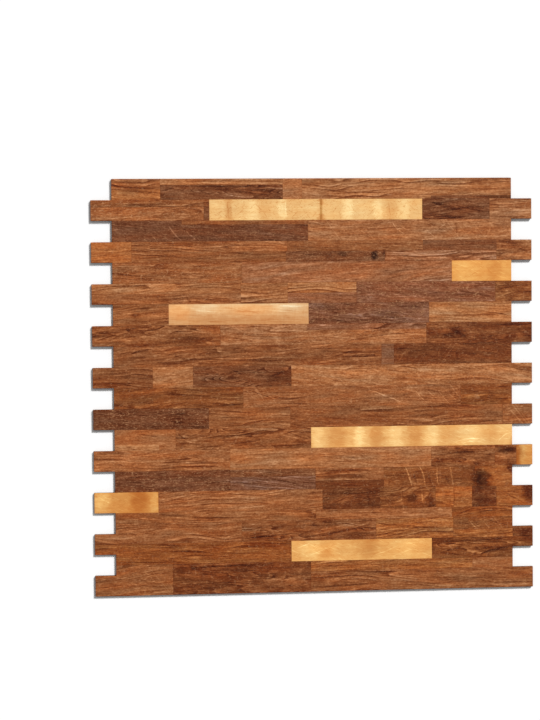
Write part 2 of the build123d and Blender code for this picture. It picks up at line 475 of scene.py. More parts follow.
    (-105, -84.6, -58, -85.2, 0.3, 0.7, 0.35),
    (-60, -78, -18, -79.6, 0.4, 0.5, -0.6),
    (-40, -83, 2, -83.6, 0.3, 0.4, -0.5),
    (-90, -87.5, -50, -88.2, 0.2, 0.5, -0.5),
    (-100, -77, -72, -76.6, 0.2, 0.5, 0.3),
    (8, -79, 30, -77.5, 0.4, 1.0, -0.4),
    (12, -85.5, 24, -83.5, 0.3, 0.6, 0.4),
    (38, -77, 39, -88, 0.2, 1.2, -0.5),
    (62.5, -77, 63.5, -87, 0.3, 0.5, 0.5),
    (78, -76.5, 79, -87.5, 0.4, 0.6, 0.55),
    (55, -82.5, 64, -80, 0.3, 0.6, 0.45),
    (50, -78, 56, -86, 0.4, 0.6, 0.35),
    (90, -80, 110, -78.5, 0.5, 1.0, 0.35),
    (92, -86, 112, -85, 0.3, 0.8, -0.4),
    (136, -80, 156, -77, 0.5, 0.8, -0.5),
    (140, -86, 158, -84, 0.4, 0.6, 0.3),
    (-113, -91.2, -94, -92.8, 0.3, 0.9, -0.6),
    (-100, -96, -58, -95, 0.3, 0.5, -0.5),
    (-60, -92.2, -20, -93.4, 0.3, 0.5, -0.5),
    (-140, -94, -112, -95, 0.3, 0.5, 0.3),
    (5, -92, 60, -93.2, 0.4, 0.5, -0.5),
    (30, -95.6, 90, -95, 0.3, 0.5, 0.35),
    (50, -91.2, 98, -91.8, 0.2, 0.4, -0.4),
    (104, -96.3, 121, -91.5, -1.5, 0.6, -0.7),
    (121, -91.5, 143, -93, -0.6, 0.6, -0.5),
    (75, -87, 83, -79, 0.4, 0.7, 0.45),
    (58, -85.5, 65, -83, 0.3, 0.8, 0.4),
    (88, -83, 100, -80.5, 0.4, 0.7, -0.35),
    (101.2, -76, 101.8, -89, -0.5, 0.5, -0.5),
    (104, -86, 113, -79, 0.4, 0.5, 0.3),
    (90, -87.6, 100, -86.4, 0.2, 0.5, 0.3),
    (138, -78.5, 152, -87, 0.6, 0.9, -0.45),
    (-150, -104, -100, -105.5, 0.5, 0.5, -0.5),
    (-120, -109.5, -60, -108.3, 0.4, 0.6, 0.35),
    (-110, -101, -70, -99.8, 0.4, 0.5, -0.4),
    (-100, -106.8, -56, -107.6, 0.2, 0.5, -0.5),
    (-53, -110.3, -14, -107.4, -0.5, 0.8, -1.0),
    (-12, -100.4, 6, -101.6, 0.3, 0.6, -0.9),
    (-1, -109.3, 21, -106, 0.4, 1.0, -0.8),
    (11, -107.5, 41, -103.3, -0.6, 1.6, -0.7),
    (30, -99.2, 41, -98.3, 0.3, 0.9, -0.6),
    (24, -104, 40, -100, 0.4, 0.7, 0.45),
    (2, -104.5, 28, -100.3, 0.5, 0.6, 0.4),
    (-48, -101.5, -18, -103, 0.5, 0.6, -0.5),
    (-50, -105.6, -24, -104.6, 0.3, 0.7, 0.35),
    (42, -100.4, 90, -104.6, 0.9, 1.2, -0.5),
    (68, -104.4, 92, -104.8, 0.2, 1.0, -0.6),
    (84, -99.6, 101, -100.6, 0.2, 1.6, 0.22),
    (50, -104.6, 96, -105.6, 0.3, 0.8, 0.35),
    (70, -98.6, 99, -99.6, 0.3, 0.8, 0.35),
    (46, -108.5, 90, -109.4, 0.4, 0.5, -0.6),
    (112.5, -99.5, 119, -106.5, 0.4, 0.45, 0.7),
    (116, -102, 121, -105, 0.3, 0.4, 0.5),
    (119, -99, 128, -108, -1.5, 0.45, 0.5),
    (126, -99, 142, -104, 0.8, 0.5, -0.6),
    (124, -106, 143, -108.5, 0.4, 0.6, -0.5),
    (-116, -113.3, -99, -114, 0.2, 0.9, -0.8),
    (-145, -125.3, -88, -126.3, 0.3, 0.7, -0.7),
    (-71, -120, -34, -121.2, 0.3, 0.5, -0.6),
    (-130, -118.5, -85, -117.3, 0.5, 0.5, -0.5),
    (-110, -122.6, -60, -122, 0.3, 0.7, 0.35),
    (-60, -115.3, -22, -116.5, 0.3, 0.5, -0.5),
    (87, -115.3, 141, -113.4, 0.5, 1.2, -0.8),
    (109, -121.5, 123, -124, 0.4, 1.5, 0.55),
    (95, -118.6, 107, -118.2, 0.2, 1.4, 0.5),
    (99, -116.2, 110, -117.2, 0.8, 0.5, -0.6),
    (112, -119.8, 121, -120.6, 0.2, 1.3, 0.5),
    (119, -125.5, 145, -119.6, -0.6, 1.5, -0.9),
    (91, -123, 106, -125.2, 0.3, 1.2, -0.7),
    (124, -117.5, 158, -116, 0.5, 0.8, 0.4),
    (88, -120, 100, -121, 0.3, 0.9, -0.5),
    (-126, -133, -113, -137, 0.3, 0.45, 0.55),
    (-136, -140, -120, -144.5, 0.4, 0.4, 0.45),
    (-130, -129.2, -106, -130, 0.2, 0.5, 0.4),
    (-140, -147, -108, -146, 0.3, 0.5, -0.5),
    (-122, -141, -110, -138.5, 0.3, 0.4, -0.5),
    (-99, -130, -30, -128.3, 0.7, 0.7, -1.1),
    (-98, -128.3, -44, -127.9, 0.1, 0.5, 0.5),
    (-86, -135, -69, -136.2, 0.3, 0.6, -0.6),
    (-61, -134.2, -44, -133, 0.3, 0.6, -0.7),
    (-41, -132, -24, -131.3, 0.2, 0.6, -0.8),
    (-90, -141, -70, -139.6, 0.4, 0.5, 0.45),
    (-66, -143, -48, -144.3, 0.4, 0.6, -0.6),
    (-40, -138.5, -18, -140.5, 0.4, 0.5, 0.45),
    (-98, -146.5, -70, -145.2, 0.3, 0.7, -0.5),
    (-30, -146, -8, -144.5, 0.3, 0.6, -0.5),
    (0, -132, 41, -130, 0.4, 0.4, -0.6),
    (40, -128.3, 42, -133, 0.2, 0.5, -0.6),
    (50, -131.5, 110, -132.8, 0.4, 0.5, -0.4),
    (60, -129.3, 100, -129.8, 0.2, 0.5, 0.3),
    (18, -140, 82, -138, 0.6, 0.5, -0.6),
    (-2, -146.3, 52, -143, 1.0, 0.8, -0.7),
    (60, -146.3, 112, -144.6, 0.5, 0.5, -0.6),
    (44, -138, 76, -140.2, 0.5, 1.1, 0.35),
    (90, -141, 158, -142.5, 0.6, 0.5, -0.5),
    (100, -137, 150, -138, 0.3, 0.6, 0.35),
    (0, -137.3, 30, -136.6, 0.2, 0.5, -0.5),
]
print(len(walnut_veins), "veins and scratches on walnut")

# %% [markdown]
# Maple has a short list of the same kind: brown ticks, and pale or dark arcs where its fibres turn.

# %% Ticks and arcs of the maple
maple_veins = [
    (-61.5, 134, -61, 121, 0.3, 0.6, -0.5),
    (-42, 132, -36, 127, 0.4, 0.35, -0.6),
    (-36, 127, -33, 121.5, 0.3, 0.35, -0.6),
    (-55, 124, -50, 129, 0.3, 0.3, -0.5),
    (-28, 131, -24, 126, 0.2, 0.3, -0.5),
    (-16, 121.5, -11, 127, 0.3, 0.35, -0.6),
    (-11, 133, -8, 128, 0.2, 0.3, -0.5),
    (-70, 123, -66, 127, 0.2, 0.3, -0.5),
    (-20, 134, -19.5, 121, 0.2, 0.9, 0.3),
    (12, 124, 17, 129, 0.3, 0.3, -0.5),
    (27, 132, 30, 126, 0.2, 0.3, -0.5),
    (40, 123, 44, 128, 0.3, 0.3, -0.5),
    (55, 133, 57, 122, 0.4, 0.6, -0.4),
    (62, 122, 66, 127, 0.3, 0.3, -0.5),
    (70, 131, 74, 127, 0.2, 0.3, -0.45),
    (113, 78, 121, 83, 0.3, 0.4, -0.4),
    (126, 86, 131, 80, 0.3, 0.4, -0.4),
    (-92, 58, -66, 52.5, 0.6, 1.5, 0.2),
    (-66, 57.5, -50, 54, -0.4, 0.6, -0.3),
    (-56, 57, -38, 53, 0.4, 0.7, -0.35),
    (-104, 55.5, -88, 54.2, 0.3, 0.6, -0.25),
    (-24, 55.4, -13, 54.6, 0.1, 0.4, -0.5),
    (-28, 58.4, -10, 58.1, 0.1, 0.7, 0.35),
    (-40, 56.4, -8, 53, 0.5, 0.8, 0.22),
    (-64, 55.4, -38, 54.2, 0.4, 0.6, -0.4),
    (-78, 47.3, -60, 47.9, 0.3, 0.6, -0.35),
    (-52, 51.9, -44, 51.7, 0.1, 0.6, -0.5),
    (-90, 55.8, -68, 54.6, 0.4, 0.9, 0.25),
    (-34, 48, -8, 47.5, 0.2, 0.5, 0.25),
    (99, -44.5, 132, -44.5, -4.6, 0.5, 0.45),
    (106, -44.6, 126, -44.6, -2.6, 0.4, 0.4),
    (134, -44, 145, -36, -2.0, 0.5, 0.45),
    (-158, -77, -146, -84, 0.4, 0.5, 0.35),
    (-150, -76, -138, -82, 0.3, 0.4, 0.3),
    (-15, -118, -4, -114, 0.3, 0.5, 0.4),
    (-5, -123, 10, -117, 0.5, 0.5, 0.35),
    (42, -124, 60, -117.5, 0.6, 0.5, 0.4),
    (55, -125, 75, -118, 0.5, 0.5, 0.35),
    (62, -116, 80, -115, 0.3, 0.5, 0.35),
]
print(len(maple_veins), "ticks and arcs on maple")

# %% [markdown]
# The tones are the middle colours of the woods, as a screen shows them. The figures are weights for the
# layers of pattern that the wood materials add up further on. For walnut they are streaks along the grain,
# dark flames, pale flecks, slanting scratches and cloudy blotches; a negative weight leans the scratches
# the other way. For maple they are streaks, brown ticks, pale slanting strokes, fine hatching and the silky
# bands across the strip.

# %% Wood tones and figures
tones = {
    "char": (97, 53, 31),
    "dark russet": (118, 65, 38),
    "dark plum": (112, 66, 43),
    "plum": (118, 70, 46),
    "mahogany": (127, 71, 41),
    "umber": (127, 76, 48),
    "mole": (126, 80, 57),
    "ash brown": (134, 88, 62),
    "cocoa": (138, 84, 57),
    "russet": (135, 77, 43),
    "chestnut": (141, 83, 49),
    "sienna": (144, 81, 43),
    "mushroom": (146, 91, 61),
    "brown": (147, 88, 52),
    "hazel": (153, 93, 56),
    "fox": (156, 88, 46),
    "ochre": (157, 94, 52),
    "dusty rose": (158, 99, 64),
    "copper": (160, 98, 59),
    "ginger": (166, 96, 51),
    "amber": (170, 102, 57),
    "rose tan": (164, 104, 65),
    "tan": (169, 108, 67),
    "pale tan": (176, 115, 72),
    "maple joint": (207, 153, 87),
    "maple toast": (212, 143, 76),
    "maple tan": (219, 164, 111),
    "maple gold": (230, 161, 86),
    "maple honey": (232, 171, 100),
    "maple butter": (237, 180, 111),
    "maple cream": (240, 190, 124),
}
figures = {
    "plain": (0.2, 0.0, 0.4, 0.0, 0.2),
    "streaky": (1.0, 0.2, 0.4, 0.0, 0.3),
    "flame": (0.7, 1.0, 0.4, 0.0, 0.4),
    "flecked": (0.5, 0.2, 1.0, 0.0, 0.4),
    "mottled": (0.5, 0.5, 0.4, 0.4, 1.0),
    "scratched": (0.4, 0.2, 0.6, 1.0, 0.4),
    "scratched back": (0.4, 0.2, 0.4, -1.0, 0.5),
    "feathered": (0.3, 1.0, 0.3, 0.3, 0.4),
    "silky": (0.3, 0.4, 1.0, 0.2, 0.3),
    "golden": (0.5, 0.5, 1.0, 0.0, 0.6),
    "striped": (1.0, 0.2, 0.3, 0.5, 0.2),
}
light_level = 1.07
veil = 0.009


def linear(screen_colour):
    """Screen colours, 0 to 255, as linear light: the sRGB curve, a 2.4 power above a straight foot."""
    c = np.asarray(screen_colour, float) / 255
    return np.where(c <= 0.04045, c / 12.92, ((c + 0.055) / 1.055) ** 2.4)


def wood_colour(tone):
    """The paint that gives a tone under the studio light: the thin veil of reflected light is taken off the
    tone, and the rest is divided by the light's level."""
    return (linear(tones[tone]) - veil) / light_level


print(len(tones), "tones and", len(figures), "figures")

# %% [markdown]
# The board is one closed sheet with a square-cut outline. It could be cut out of a block with boolean
# tools, but then the strips would have no faces of their own. So it is made as a grid whose lines run
# through every finger, notch and strip end. First come its sizes. A notch is a clearance taller than a row
# at both flanks, and the finger beside it is as much thinner, so that a neighbour's finger goes in.

# %% Sizes of the board, in millimetres
half_long = 1000 * panel_high.x
half_height = 1000 * panel_high.y
thickness = 1000 * panel_high.z
row_count = 20
finger_depth = 15.0
clearance = 0.1
corner_radius = 1.0
chamfer = 0.3
row_height = 2 * half_height / row_count
half_short = half_long - finger_depth

flank = half_height - row_height * np.arange(row_count + 1)
flank[1:-1:2] -= clearance
flank[2:-1:2] += clearance
into_finger = np.where(np.arange(row_count + 1) % 2 == 1, -1.0, 1.0)
into_finger[0] = -1.0
notch_top = flank[0:row_count:2]
notch_bottom = flank[1 : row_count + 1 : 2]
print("rows", round(row_height, 2), "mm, notches", np.round(notch_top[1] - notch_bottom[1], 2), "mm high")

# %% [markdown]
# The grid has a line at each end and edge of a strip and along the whole outline. Beside the outline, more
# lines stand one chamfer, half a corner radius and one corner radius inside it, so that the eased rim and
# the rounded corners of the solid come out too.

# %% Grid lines
line_decimals = 4
inset = np.array([0.0, chamfer, corner_radius / 2, corner_radius])
strip_rows = np.array([s[:2] for s in strips])
strip_ends = np.array([s[2:4] for s in strips], float)
strip_y = half_height - row_height * strip_rows[:, ::-1]
outline_x = np.concatenate([half_long - inset, half_short - inset])
outline_y = flank[:, None] + into_finger[:, None] * inset
x_lines = np.concatenate([outline_x, -outline_x, strip_ends.ravel()])
y_lines = np.concatenate([outline_y.ravel(), strip_y.ravel()])
x_lines = np.unique(np.round(x_lines, line_decimals))
y_lines = np.unique(np.round(y_lines, line_decimals))
print(len(x_lines), "lines across and", len(y_lines), "lines up")

# %% [markdown]
# A point near the rim lies below the face by as much as the chamfer takes off there. At the outward
# corners, the square rings of points are bent into round ones, which keeps every cell four-sided and needs
# no cut through the grid.

# %% Heights and rounded corners
ring_slack = 1e-6
ring_least = 1e-9


def depth_inside(x, y):
    """How far a place lies inside the outline: the smallest of its distances to the outer edges and to the
    notches. A notch is as far off as the larger of its distances across and up, so the chamfer has mitres."""
    depth = np.minimum(half_long - abs(x), half_height - abs(y))
    for top, bottom in zip(notch_top, notch_bottom):
        above = np.maximum(y - top, bottom - y) if top < half_height else bottom - y
        depth = np.minimum(depth, np.maximum(half_short - abs(x), above))
    return depth


def rounded(x, y):
    """Moves the grid's outward corners onto quarter circles. In the last radius before a corner, a place's
    square ring becomes a circular ring of the same size, and its share along the ring becomes an angle."""
    corners = [(half_long, flank[k], into_finger[k]) for k in range(1, row_count + 1)]
    corners.append((half_short, half_height, -1.0))
    new_x, new_y = x.copy(), y.copy()
    for reach, edge, inward in corners:
        centre = reach - corner_radius
        u = (abs(x) - centre) / corner_radius
        v = (edge + inward * corner_radius - y) * inward / corner_radius
        ring = np.maximum(u, v)
        near = (np.minimum(u, v) > 0) & (ring <= 1 + ring_slack)
        size = np.maximum(ring, ring_least)
        angle = np.where(u >= v, v / size, 2 - u / size) * np.pi / 4
        new_x = np.where(near, np.sign(x) * (centre + corner_radius * ring * np.cos(angle)), new_x)
        new_y = np.where(near, edge + inward * corner_radius * (1 - ring * np.sin(angle)), new_y)
    return new_x, new_y


grid_x, grid_y = np.meshgrid(x_lines, y_lines)
depth = depth_inside(grid_x, grid_y)
face_z = thickness - np.clip(chamfer - depth, 0, chamfer)
round_x, round_y = rounded(grid_x, grid_y)
print("largest corner shift", round(float(abs(round_x - grid_x).max()), 3), "mm")

# %% [markdown]
# Cells that fall in a notch are left out. The kept cells are the face, and once more the back, and a wall
# is put up wherever a kept cell meets a left-out one. Each cell of the face also learns which strip it
# belongs to.

# %% Cells, walls and strips
mid_x, mid_y = np.meshgrid((x_lines[1:] + x_lines[:-1]) / 2, (y_lines[1:] + y_lines[:-1]) / 2)
kept = depth_inside(mid_x, mid_y) > 0
fenced = np.pad(kept, 1)
face_points = np.arange(grid_x.size).reshape(grid_x.shape)
to_back = face_points.size
a, b = face_points[:-1, :-1], face_points[:-1, 1:]
c, d = face_points[1:, 1:], face_points[1:, :-1]


def wall(start, end, kept_beyond):
    """Upright faces from the back to the rim, along the cell sides that have no kept cell beyond them."""
    rim = kept & ~kept_beyond
    return np.stack([start[rim] + to_back, end[rim] + to_back, end[rim], start[rim]], 1)


decor_faces = np.stack([a[kept], b[kept], c[kept], d[kept]], 1)
back_faces = decor_faces[:, ::-1] + to_back
wall_faces = [
    wall(b, c, fenced[1:-1, 2:]),
    wall(d, a, fenced[1:-1, :-2]),
    wall(c, d, fenced[2:, 1:-1]),
    wall(a, b, fenced[:-2, 1:-1]),
]
faces = np.concatenate([decor_faces, back_faces, *wall_faces])
strip_of_cell = np.zeros(kept.shape, int)
for number, (ends, heights) in enumerate(zip(strip_ends, strip_y)):
    inside_x = (mid_x > ends[0]) & (mid_x < ends[1])
    inside_y = (mid_y > heights[0]) & (mid_y < heights[1])
    strip_of_cell[inside_x & inside_y] = number
strip_of_face = strip_of_cell[kept]
print(len(decor_faces), "cells on the face,", sum(map(len, wall_faces)), "wall faces")

# %% [markdown]
# The points of the back are those of the face, pressed down flat. Points that no face uses are dropped, and
# the rest becomes one mesh, closed all round as the real board is: then each side of a face belongs to two
# faces.

# %% The board's mesh
face_places = np.stack([round_x, round_y, face_z], -1).reshape(-1, 3)
back_places = face_places * [1, 1, 0]
places = np.concatenate([face_places, back_places]) / 1000
used, faces = np.unique(faces, return_inverse=True)
faces = faces.reshape(-1, 4)
places = places[used]
board_mesh = bpy.data.meshes.new("decor_board")
board_mesh.from_pydata(places.tolist(), [], faces.tolist())
board = bpy.data.objects.new("decor_board", board_mesh)
bpy.context.scene.collection.objects.link(board)
sides = np.stack([faces, np.roll(faces, -1, axis=1)], -1).reshape(-1, 2)
faces_at_side = np.unique(np.sort(sides, axis=1), axis=0, return_counts=True)[1]
closed = bool((faces_at_side == 2).all())
print(len(places), "points,", len(faces), "faces, closed:", closed, "repaired:", board_mesh.validate())

# %% [markdown]
# The wood can also be flattened into one picture, for programs that read no node materials. This map says
# where each face lies in that picture. The decor takes most of it, because its grain is fine. The plain
# back is squeezed into a low band, and below it come six thin bands for the edges: those that face right
# and left, the top edge, the upper flanks of the fingers side by side, the bottom edge, and the lower
# flanks. A band is its start and its height.

# %% Map for a flat picture of the board
map_margin = 0.01
decor_band = (0.17, 0.825)
back_band = (0.085, 0.075)
edge_band = (0.003, 0.009)
edge_band_pitch = 0.013
corner = 1000 * places[faces]
decor_end, back_end = len(decor_faces), 2 * len(decor_faces)
along = corner[..., 0].copy()
up = np.empty_like(along)
height_share = (corner[..., 1] + half_height) / (2 * half_height)
up[:decor_end] = decor_band[0] + decor_band[1] * height_share[:decor_end]
up[decor_end:back_end] = back_band[0] + back_band[1] * height_share[decor_end:back_end]
edge = corner[back_end:]
facing = np.repeat(np.arange(4), [len(w) for w in wall_faces])
sideways = facing < 2
middle = edge.mean(axis=1)
nearest_line = np.round((half_height - middle[:, 1]) / row_height).astype(int)
is_flank = (nearest_line > 0) & (nearest_line < row_count)
flank_number = (nearest_line - 1) // 2 + np.where(middle[:, 0] < 0, row_count // 2, 0)
flank_pitch = 2 * half_long / row_count
along_flank = flank_pitch * flank_number[:, None] - half_long + abs(edge[..., 0]) - half_short
along_level = np.where(is_flank[:, None], along_flank, edge[..., 0])
along[back_end:] = np.where(sideways[:, None], edge[..., 1], along_level)
band = np.where(sideways, facing, 2 * facing - 2 + is_flank)
up[back_end:] = edge_band[0] + edge_band_pitch * band[:, None] + edge_band[1] * edge[..., 2] / thickness
right = map_margin + (1 - 2 * map_margin) * (along + half_long) / (2 * half_long)
flat_map = board_mesh.uv_layers.new(name="OFBake")
flat_map.data.foreach_set("uv", np.stack([right, up], -1).astype(np.float32).ravel())
print("flat map from", np.round([right.min(), up.min()], 3), "to", np.round([right.max(), up.max()], 3))

# %% [markdown]
# Each face of the decor carries what its strip is: the tone, the weights of its figure, its ends, and a
# number that makes its pattern its own. The materials read these as attributes, so one walnut material
# serves every walnut strip.

# %% Strip attributes
WALNUT, MAPLE, CORE, PAPER = range(4)
seed_step = 7.3
strip_tone = np.array([wood_colour(s[4]) for s in strips])
strip_figure = np.array([figures[s[5]] for s in strips])
is_maple = np.array(["maple" in s[4] for s in strips])
strip_cut = np.hstack([strip_ends, strip_y])
strip_seed = seed_step * np.arange(len(strips))


def on_faces(name, kind, values, field):
    """Writes one value per decor face, read from its strip, and zero on the walls and the back."""
    values = np.asarray(values, np.float32)
    out = np.zeros((len(faces),) + values.shape[1:], np.float32)
    out[:decor_end] = values[strip_of_face]
    board_mesh.attributes.new(name, kind, "FACE").data.foreach_set(field, out.ravel())


on_faces("strip_tone", "FLOAT_COLOR", np.column_stack([strip_tone, np.ones(len(strips))]), "color")
on_faces("strip_figure", "FLOAT_COLOR", strip_figure[:, :4], "color")
on_faces("strip_blotch", "FLOAT", strip_figure[:, 4], "value")
on_faces("strip_cut", "FLOAT_COLOR", strip_cut, "color")
on_faces("strip_seed", "FLOAT", strip_seed, "value")
material_of_face = np.full(len(faces), CORE)
material_of_face[:decor_end] = np.where(is_maple[strip_of_face], MAPLE, WALNUT)
material_of_face[decor_end:back_end] = PAPER
print("attributes:", [x.name for x in board_mesh.attributes if x.name.startswith("strip")])

# %% [markdown]
# A strip carries its own veins in the same way. They go into numbered slots, and a slot holds a vein's
# first end, its run divided by the square of its length, its bow and its width in shares of the length, and
# its stops. So a material draws only as many veins as the fullest strip has, not the whole list. The vein
# group shapes bow and width with a hump whose top is a quarter, so both are divided by that height here.

# %% Veins on their strips
hump_height = 0.25
veins = np.array(walnut_veins + maple_veins, float)
vein_middle = (veins[:, None, :2] + veins[:, None, 2:4]) / 2
over = (vein_middle[..., 0] > strip_ends[:, 0]) & (vein_middle[..., 0] < strip_ends[:, 1])
over &= (vein_middle[..., 1] > strip_y[:, 0]) & (vein_middle[..., 1] < strip_y[:, 1])
strip_of_vein = len(strips) - 1 - np.argmax(over[:, ::-1], axis=1)
slot_of_vein = np.array([np.sum(strip_of_vein[:n] == strip) for n, strip in enumerate(strip_of_vein)])
slot_count = slot_of_vein.max() + 1
vein_run = veins[:, 2:4] - veins[:, :2]
vein_length = np.hypot(*vein_run.T)[:, None]
vein_line = np.zeros((slot_count, len(strips), 4))
vein_form = np.zeros((slot_count, len(strips), 3))
vein_line[slot_of_vein, strip_of_vein] = np.hstack([veins[:, :2], vein_run / vein_length**2])
bow_and_width = veins[:, 4:6] / (hump_height * vein_length)
vein_form[slot_of_vein, strip_of_vein] = np.hstack([bow_and_width, veins[:, 6:]])
for slot in range(slot_count):
    on_faces(f"vein_line_{slot}", "FLOAT_COLOR", vein_line[slot], "color")
    on_faces(f"vein_form_{slot}", "FLOAT_VECTOR", vein_form[slot], "vector")
print(len(veins), "veins in", slot_count, "slots")

# %% [markdown]
# Small helpers keep the node trees readable: one adds a node, one puts a number or a link on a socket, and
# some do sums. Noise comes from one helper that stretches it along the grain.

# %% Helpers for node trees
noise_middle = 0.5
noise_gain = 4.0
sparse_gain = 1.5
mix_sockets = {"VECTOR": (4, 5, 1), "RGBA": (6, 7, 2)}


def node(tree, kind, **settings):
    """Adds a node of this kind and sets its named properties."""
    made = tree.nodes.new(kind)
    for name, value in settings.items():
        setattr(made, name, value)
    return made


def feed(tree, socket, value):
    """Links an output to a socket, or sets the socket to a number, a place or a colour."""
    if isinstance(value, bpy.types.NodeSocket):
        tree.links.new(value, socket)
    else:
        socket.default_value = value


def calc(tree, operation, *values):
    """A sum of one Math node over outputs and numbers."""
    made = node(tree, "ShaderNodeMath", operation=operation)
    for socket, value in zip(made.inputs, values):
        feed(tree, socket, value)
    return made.outputs[0]


def times(tree, *values):
    """All the values multiplied."""
    out = values[0]
    for value in values[1:]:
        out = calc(tree, "MULTIPLY", out, value)
    return out


def total(tree, *values):
    """All the values added up."""
    out = values[0]
    for value in values[1:]:
        out = calc(tree, "ADD", out, value)
    return out


def ramp(tree, value, gain, start):
    """A straight line over a value: the start, plus the gain times the value."""
    return calc(tree, "MULTIPLY_ADD", value, gain, start)


def inverse(tree, value):
    """One less the value."""
    return calc(tree, "SUBTRACT", 1.0, value)


def step(tree, value, start, end):
    """0 below start, 1 above end, and a smooth S between them."""
    made = node(tree, "ShaderNodeMapRange", interpolation_type="SMOOTHSTEP")
    feed(tree, made.inputs["Value"], value)
    feed(tree, made.inputs["From Min"], start)
    feed(tree, made.inputs["From Max"], end)
    return made.outputs[0]


def mixed(tree, kind, factor, first, second):
    """A blend of two places or two colours: all of the first at factor 0, all of the second at factor 1. The
    Mix node has sockets for every kind of value, so they are told apart by their numbers."""
    made = node(tree, "ShaderNodeMix", data_type=kind)
    first_socket, second_socket, result = mix_sockets[kind]
    feed(tree, made.inputs["Factor"], factor)
    feed(tree, made.inputs[first_socket], first)
    feed(tree, made.inputs[second_socket], second)
    return made.outputs[result]


def cloud(tree, x, y, z, detail, roughness):
    """Smooth noise read at the place (x, y, z). It lies about zero, and little of it is beyond one."""
    place = node(tree, "ShaderNodeCombineXYZ")
    for socket, value in zip(place.inputs, (x, y, z)):
        feed(tree, socket, value)
    made = node(tree, "ShaderNodeTexNoise")
    feed(tree, made.inputs["Vector"], place.outputs[0])
    made.inputs["Scale"].default_value = 1.0
    made.inputs["Detail"].default_value = detail
    made.inputs["Roughness"].default_value = roughness
    return calc(tree, "MULTIPLY", calc(tree, "SUBTRACT", made.outputs[0], noise_middle), noise_gain)


def stretched(tree, x, y, seed, length, width, detail=2.0, roughness=0.5):
    """Noise whose clouds are so long and so wide."""
    across = calc(tree, "DIVIDE", x, length)
    up = calc(tree, "DIVIDE", y, width)
    return cloud(tree, across, up, seed, detail, roughness)


def sparse(tree, value):
    """A value times its own size, so that small swings fade and only the strong ones stay."""
    return times(tree, value, calc(tree, "ABSOLUTE", value), sparse_gain)


def xy(tree, place):
    """The across and up parts of a place."""
    made = node(tree, "ShaderNodeSeparateXYZ")
    feed(tree, made.inputs[0], place)
    return made.outputs[0], made.outputs[1]


def turned(tree, place, degrees):
    """A place turned about the origin, so that a pattern along x leans by this angle."""
    made = node(tree, "ShaderNodeVectorRotate", rotation_type="Z_AXIS")
    feed(tree, made.inputs["Vector"], place)
    made.inputs["Angle"].default_value = radians(-degrees)
    return made.outputs[0]


print("noise runs from about", -noise_gain * noise_middle, "to", noise_gain * noise_middle)

# %% [markdown]
# An effect that several woods use becomes a node group with named sockets. It is built once, and each
# material places it with values of its own.

# %% Helpers for node groups
NUMBER = "NodeSocketFloat"
COLOUR = "NodeSocketColor"
socket_kinds = {1: NUMBER, 3: "NodeSocketVector", 4: COLOUR}


def effect(name, inputs, outputs):
    """Starts a node group with named inputs and their first values, and named outputs and their kinds.
    Returns the tree, a dictionary of its inputs and the sockets of its output node."""
    tree = bpy.data.node_groups.new(name, "ShaderNodeTree")
    for label, value in inputs.items():
        made = tree.interface.new_socket(label, in_out="INPUT", socket_type=socket_kinds[np.size(value)])
        made.default_value = value
    for label, kind in outputs.items():
        tree.interface.new_socket(label, in_out="OUTPUT", socket_type=kind)
    entry = node(tree, "NodeGroupInput")
    leave = node(tree, "NodeGroupOutput")
    return tree, {s.name: s for s in entry.outputs if s.name}, leave.inputs


def placed(tree, group, values):
    """Puts a node group into a tree, with these values or links on its inputs. Returns its outputs."""
    made = node(tree, "ShaderNodeGroup", node_tree=group)
    for label, value in values.items():
        feed(tree, made.inputs[label], value)
    return made.outputs


print("sockets for", list(socket_kinds), "numbers")

# %% [markdown]
# Grain is noise that is stretched along the strip. Broad bands of early and late wood, streaks and fibres
# lie over each other, and through them run the ring lines: a saw-tooth across the strip that darkens slowly
# and ends sharply, as a year's growth does. Where the saw-tooth is pushed up and down by a slow noise, the
# lines close into flames. All layers bend with the same sway and lean by an angle of the strip's own, so
# that they stay side by side. Each puts out a number about zero, in photographic stops, or a mask, and the
# materials add them up.

# %% Board grain group
ring_spread = (0.8, 0.6)
late_wood = (0.5, 0.93)
early_wood = (0.0, 0.35)
early_share = 0.5
grain, g, out = effect(
    "Board grain",
    {"Position": (0.0, 0.0, 0.0), "Seed": 0.0, "Sway": 1.5, "Lean": 0.1, "Ring": 2.4, "Swirl": 1.0},
    {"Bands": NUMBER, "Streaks": NUMBER, "Fibres": NUMBER, "Rings": NUMBER, "Across": NUMBER},
)
x, y = xy(grain, g["Position"])
draw = node(grain, "ShaderNodeTexWhiteNoise", noise_dimensions="1D")
feed(grain, draw.inputs["W"], g["Seed"])
drawn = node(grain, "ShaderNodeSeparateColor")
feed(grain, drawn.inputs[0], draw.outputs["Color"])
lean = times(grain, calc(grain, "SUBTRACT", drawn.outputs[0], 0.5), g["Lean"])
ring = times(grain, ramp(grain, drawn.outputs[1], *ring_spread), g["Ring"])
bend = times(grain, stretched(grain, x, y, g["Seed"], length=60.0, width=20.0, detail=1.0), g["Sway"])
across = total(grain, y, bend, times(grain, lean, x))
feed(grain, out["Across"], across)


def grain_layer(seed, length, width, detail, roughness=0.6):
    """One layer of the grain's noise, so long and so wide, with a seed of its own."""
    own_seed = calc(grain, "ADD", g["Seed"], seed)
    return stretched(grain, x, across, own_seed, length, width, detail, roughness)


